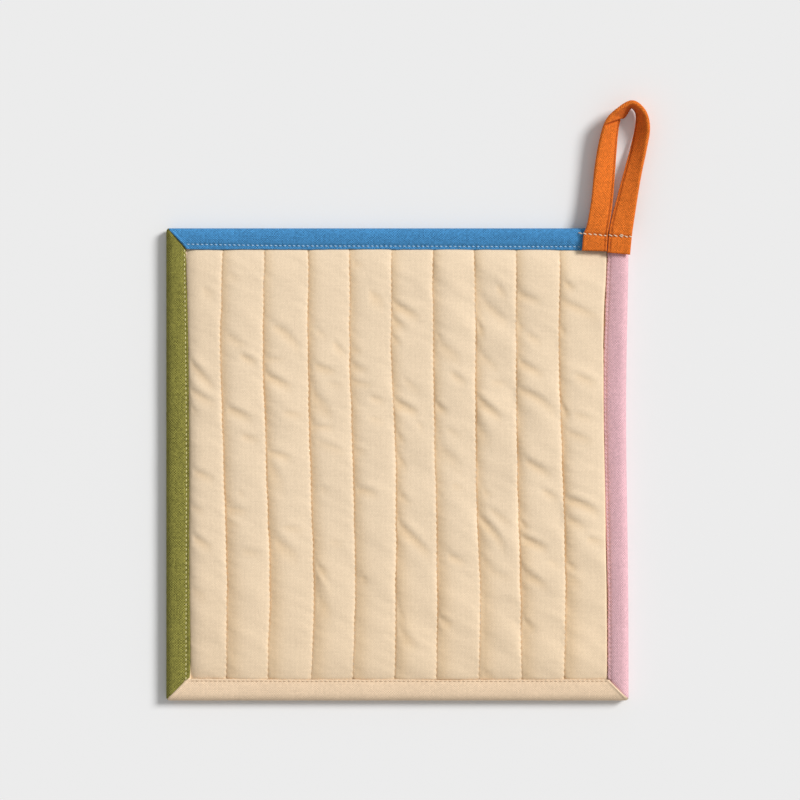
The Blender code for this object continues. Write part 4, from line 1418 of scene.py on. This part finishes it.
def sewn(name, threads, radius, rise, thread):
    """A piece of many stitches, of the thread of that name in the settings."""
    material = thread_material(thread, getattr(bpy.context.scene.potholder_cloth, thread))
    return stitches_object(name, *threads, radius, rise, material)


class PotHolderStageBuild(bpy.types.Operator):
    """Lay the floor, and set the light and the camera"""

    bl_idname = "potholder.stage"
    bl_label = "Stage"

    def execute(self, context):
        scene = context.scene
        stage = scene.potholder_stage
        corners = FLOOR_SIDE / 2 * np.array([(-1, -1), (1, -1), (1, 1), (-1, 1)])
        mesh = bpy.data.meshes.new("floor")
        mesh.from_pydata([(*corner, FLOOR_LEVEL) for corner in corners], [], [(0, 1, 2, 3)])
        material = bpy.data.materials.new("floor_finish")
        material.use_nodes = True
        matt = {"Base Color": (*stage.floor, 1), "Roughness": 1.0, "Specular IOR Level": 0.0}
        Nodes(material.node_tree).fill(material.node_tree.nodes["Principled BSDF"], matt)
        mesh.materials.append(material)
        linked(bpy.data.objects.new("floor", mesh))

        sun = bpy.data.lights.new("key", "SUN")
        sun.energy = stage.sun_strength
        sun.angle = stage.sun_angle
        lamp = linked(bpy.data.objects.new("key", sun))
        lamp.rotation_euler = (0, math.pi / 2 - stage.sun_height, stage.sun_bearing)
        scene.world = bpy.data.worlds.new("room")
        scene.world.use_nodes = True
        light = {"Color": (1, 1, 1, 1), "Strength": stage.fill}
        Nodes(scene.world.node_tree).fill(scene.world.node_tree.nodes["Background"], light)

        camera = bpy.data.cameras.new("camera")
        camera.lens = 150
        camera.sensor_width = 36
        camera.clip_end = 10
        eye = linked(bpy.data.objects.new("camera", camera))
        away = stage.view_width * camera.lens / camera.sensor_width
        eye.location = (*stage.view_centre, away + stage.view_height)
        scene.camera = eye
        scene.view_settings.view_transform = "Standard"
        # The weave is too fine to be told from noise once its colours have been smoothed.
        scene.cycles.denoising_prefilter = "NONE"
        return {"FINISHED"}


class PotHolderPanelBuild(bpy.types.Operator):
    """Make the padded and quilted panel"""

    bl_idname = "potholder.panel"
    bl_label = "Quilted Panel"

    def execute(self, context):
        colour = context.scene.potholder_cloth.panel
        material = cloth_material("undyed_cotton", colour, 0.058, 0.085, slub=0.06, fleck=0.25)
        panel = tube_object("quilted_panel_cloth", *panel_grid(), material)
        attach(panel, "root")
        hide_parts("quilted_panel")
        return {"FINISHED"}


class PotHolderBindingsBuild(bpy.types.Operator):
    """Fold the four binding strips round the edges"""

    bl_idname = "potholder.bindings"
    bl_label = "Bindings"

    def execute(self, context):
        for edge, strip in STRIPS.items():
            colour = strip["colour"]
            pigment = getattr(context.scene.potholder_cloth, colour)
            checks = strip["checks"]
            material = cloth_material(
                f"{colour}_cotton", pigment, checks, checks, painted_shade_tint=BINDING_PAINTED_SHADE_TINT
            )
            grid, along, around, hollow = strip_grid(edge)
            folded = tube_object(f"binding_{edge}_cloth", grid, along, around, hollow, material)
            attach(folded, "root")
            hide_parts(f"binding_{edge}")
        return {"FINISHED"}


class PotHolderTopstitchesBuild(bpy.types.Operator):
    """Sew the bindings down, front and back"""

    bl_idname = "potholder.topstitches"
    bl_label = "Topstitches"

    def execute(self, context):
        for edge, strip in STRIPS.items():
            radius = strip["thread"] * MM
            thread = f"{strip['colour']}_thread"
            threads = sewn(f"topstitches_{edge}", strip_threads(edge), radius, TOPSTITCH_RISE, thread)
            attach(threads, "root")
        return {"FINISHED"}


class PotHolderQuiltingBuild(bpy.types.Operator):
    """Sew the nine quilting seams, front and back"""

    bl_idname = "potholder.quilting"
    bl_label = "Quilting Stitches"

    def execute(self, context):
        stitches = quilting_threads()
        threads = sewn("quilting_stitches", stitches, QUILTING_THREAD, QUILTING_RISE, "quilting_thread")
        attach(threads, "root")
        return {"FINISHED"}


class PotHolderLoopBuild(bpy.types.Operator):
    """Lay the hanging loop and sew its ends down"""

    bl_idname = "potholder.loop"
    bl_label = "Hanging Loop"

    def execute(self, context):
        colour = context.scene.potholder_cloth.orange
        material = cloth_material("orange_cotton", colour, 0.37, 0.43, painted_shade_tint=TAPE_PAINTED_SHADE_TINT)
        grid, along, around, hollow = tape_grid()
        tape = tube_object("hanging_loop_tape", grid, along, around, hollow, material)
        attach(tape, "root")
        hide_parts("hanging_loop")

        edge = sewn("loop_edge_stitches", edge_threads(), EDGE_THREAD, EDGE_RISE, "orange_thread")
        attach(edge, "root")
        cross = sewn("loop_cross_stitches", cross_threads(), CROSS_THREAD, CROSS_RISE, "cross_thread")
        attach(cross, "root")
        return {"FINISHED"}


class PotHolderPanelOfTools(bpy.types.Panel):
    """Buttons in the sidebar"""

    bl_idname = "POTHOLDER_PT_tools"
    bl_label = "Pot Holder"
    bl_space_type = "VIEW_3D"
    bl_region_type = "UI"
    bl_category = "Pot Holder"

    def draw(self, context):
        for operator in OPERATORS:
            self.layout.operator(operator.bl_idname)


OPERATORS = (
    PotHolderStageBuild,
    PotHolderPanelBuild,
    PotHolderBindingsBuild,
    PotHolderTopstitchesBuild,
    PotHolderQuiltingBuild,
    PotHolderLoopBuild,
)
CLASSES = (PotHolderCloth, PotHolderStage, *OPERATORS, PotHolderPanelOfTools)


def register():
    for part in CLASSES:
        bpy.utils.register_class(part)
    bpy.types.Scene.potholder_cloth = bpy.props.PointerProperty(type=PotHolderCloth)
    bpy.types.Scene.potholder_stage = bpy.props.PointerProperty(type=PotHolderStage)


def unregister():
    del bpy.types.Scene.potholder_stage
    del bpy.types.Scene.potholder_cloth
    for part in reversed(CLASSES):
        bpy.utils.unregister_class(part)


def main():
    register()
    bpy.ops.potholder.stage()
    bpy.ops.potholder.panel()
    bpy.ops.potholder.bindings()
    bpy.ops.potholder.topstitches()
    bpy.ops.potholder.quilting()
    bpy.ops.potholder.loop()


if __name__ == "__main__":
    main()
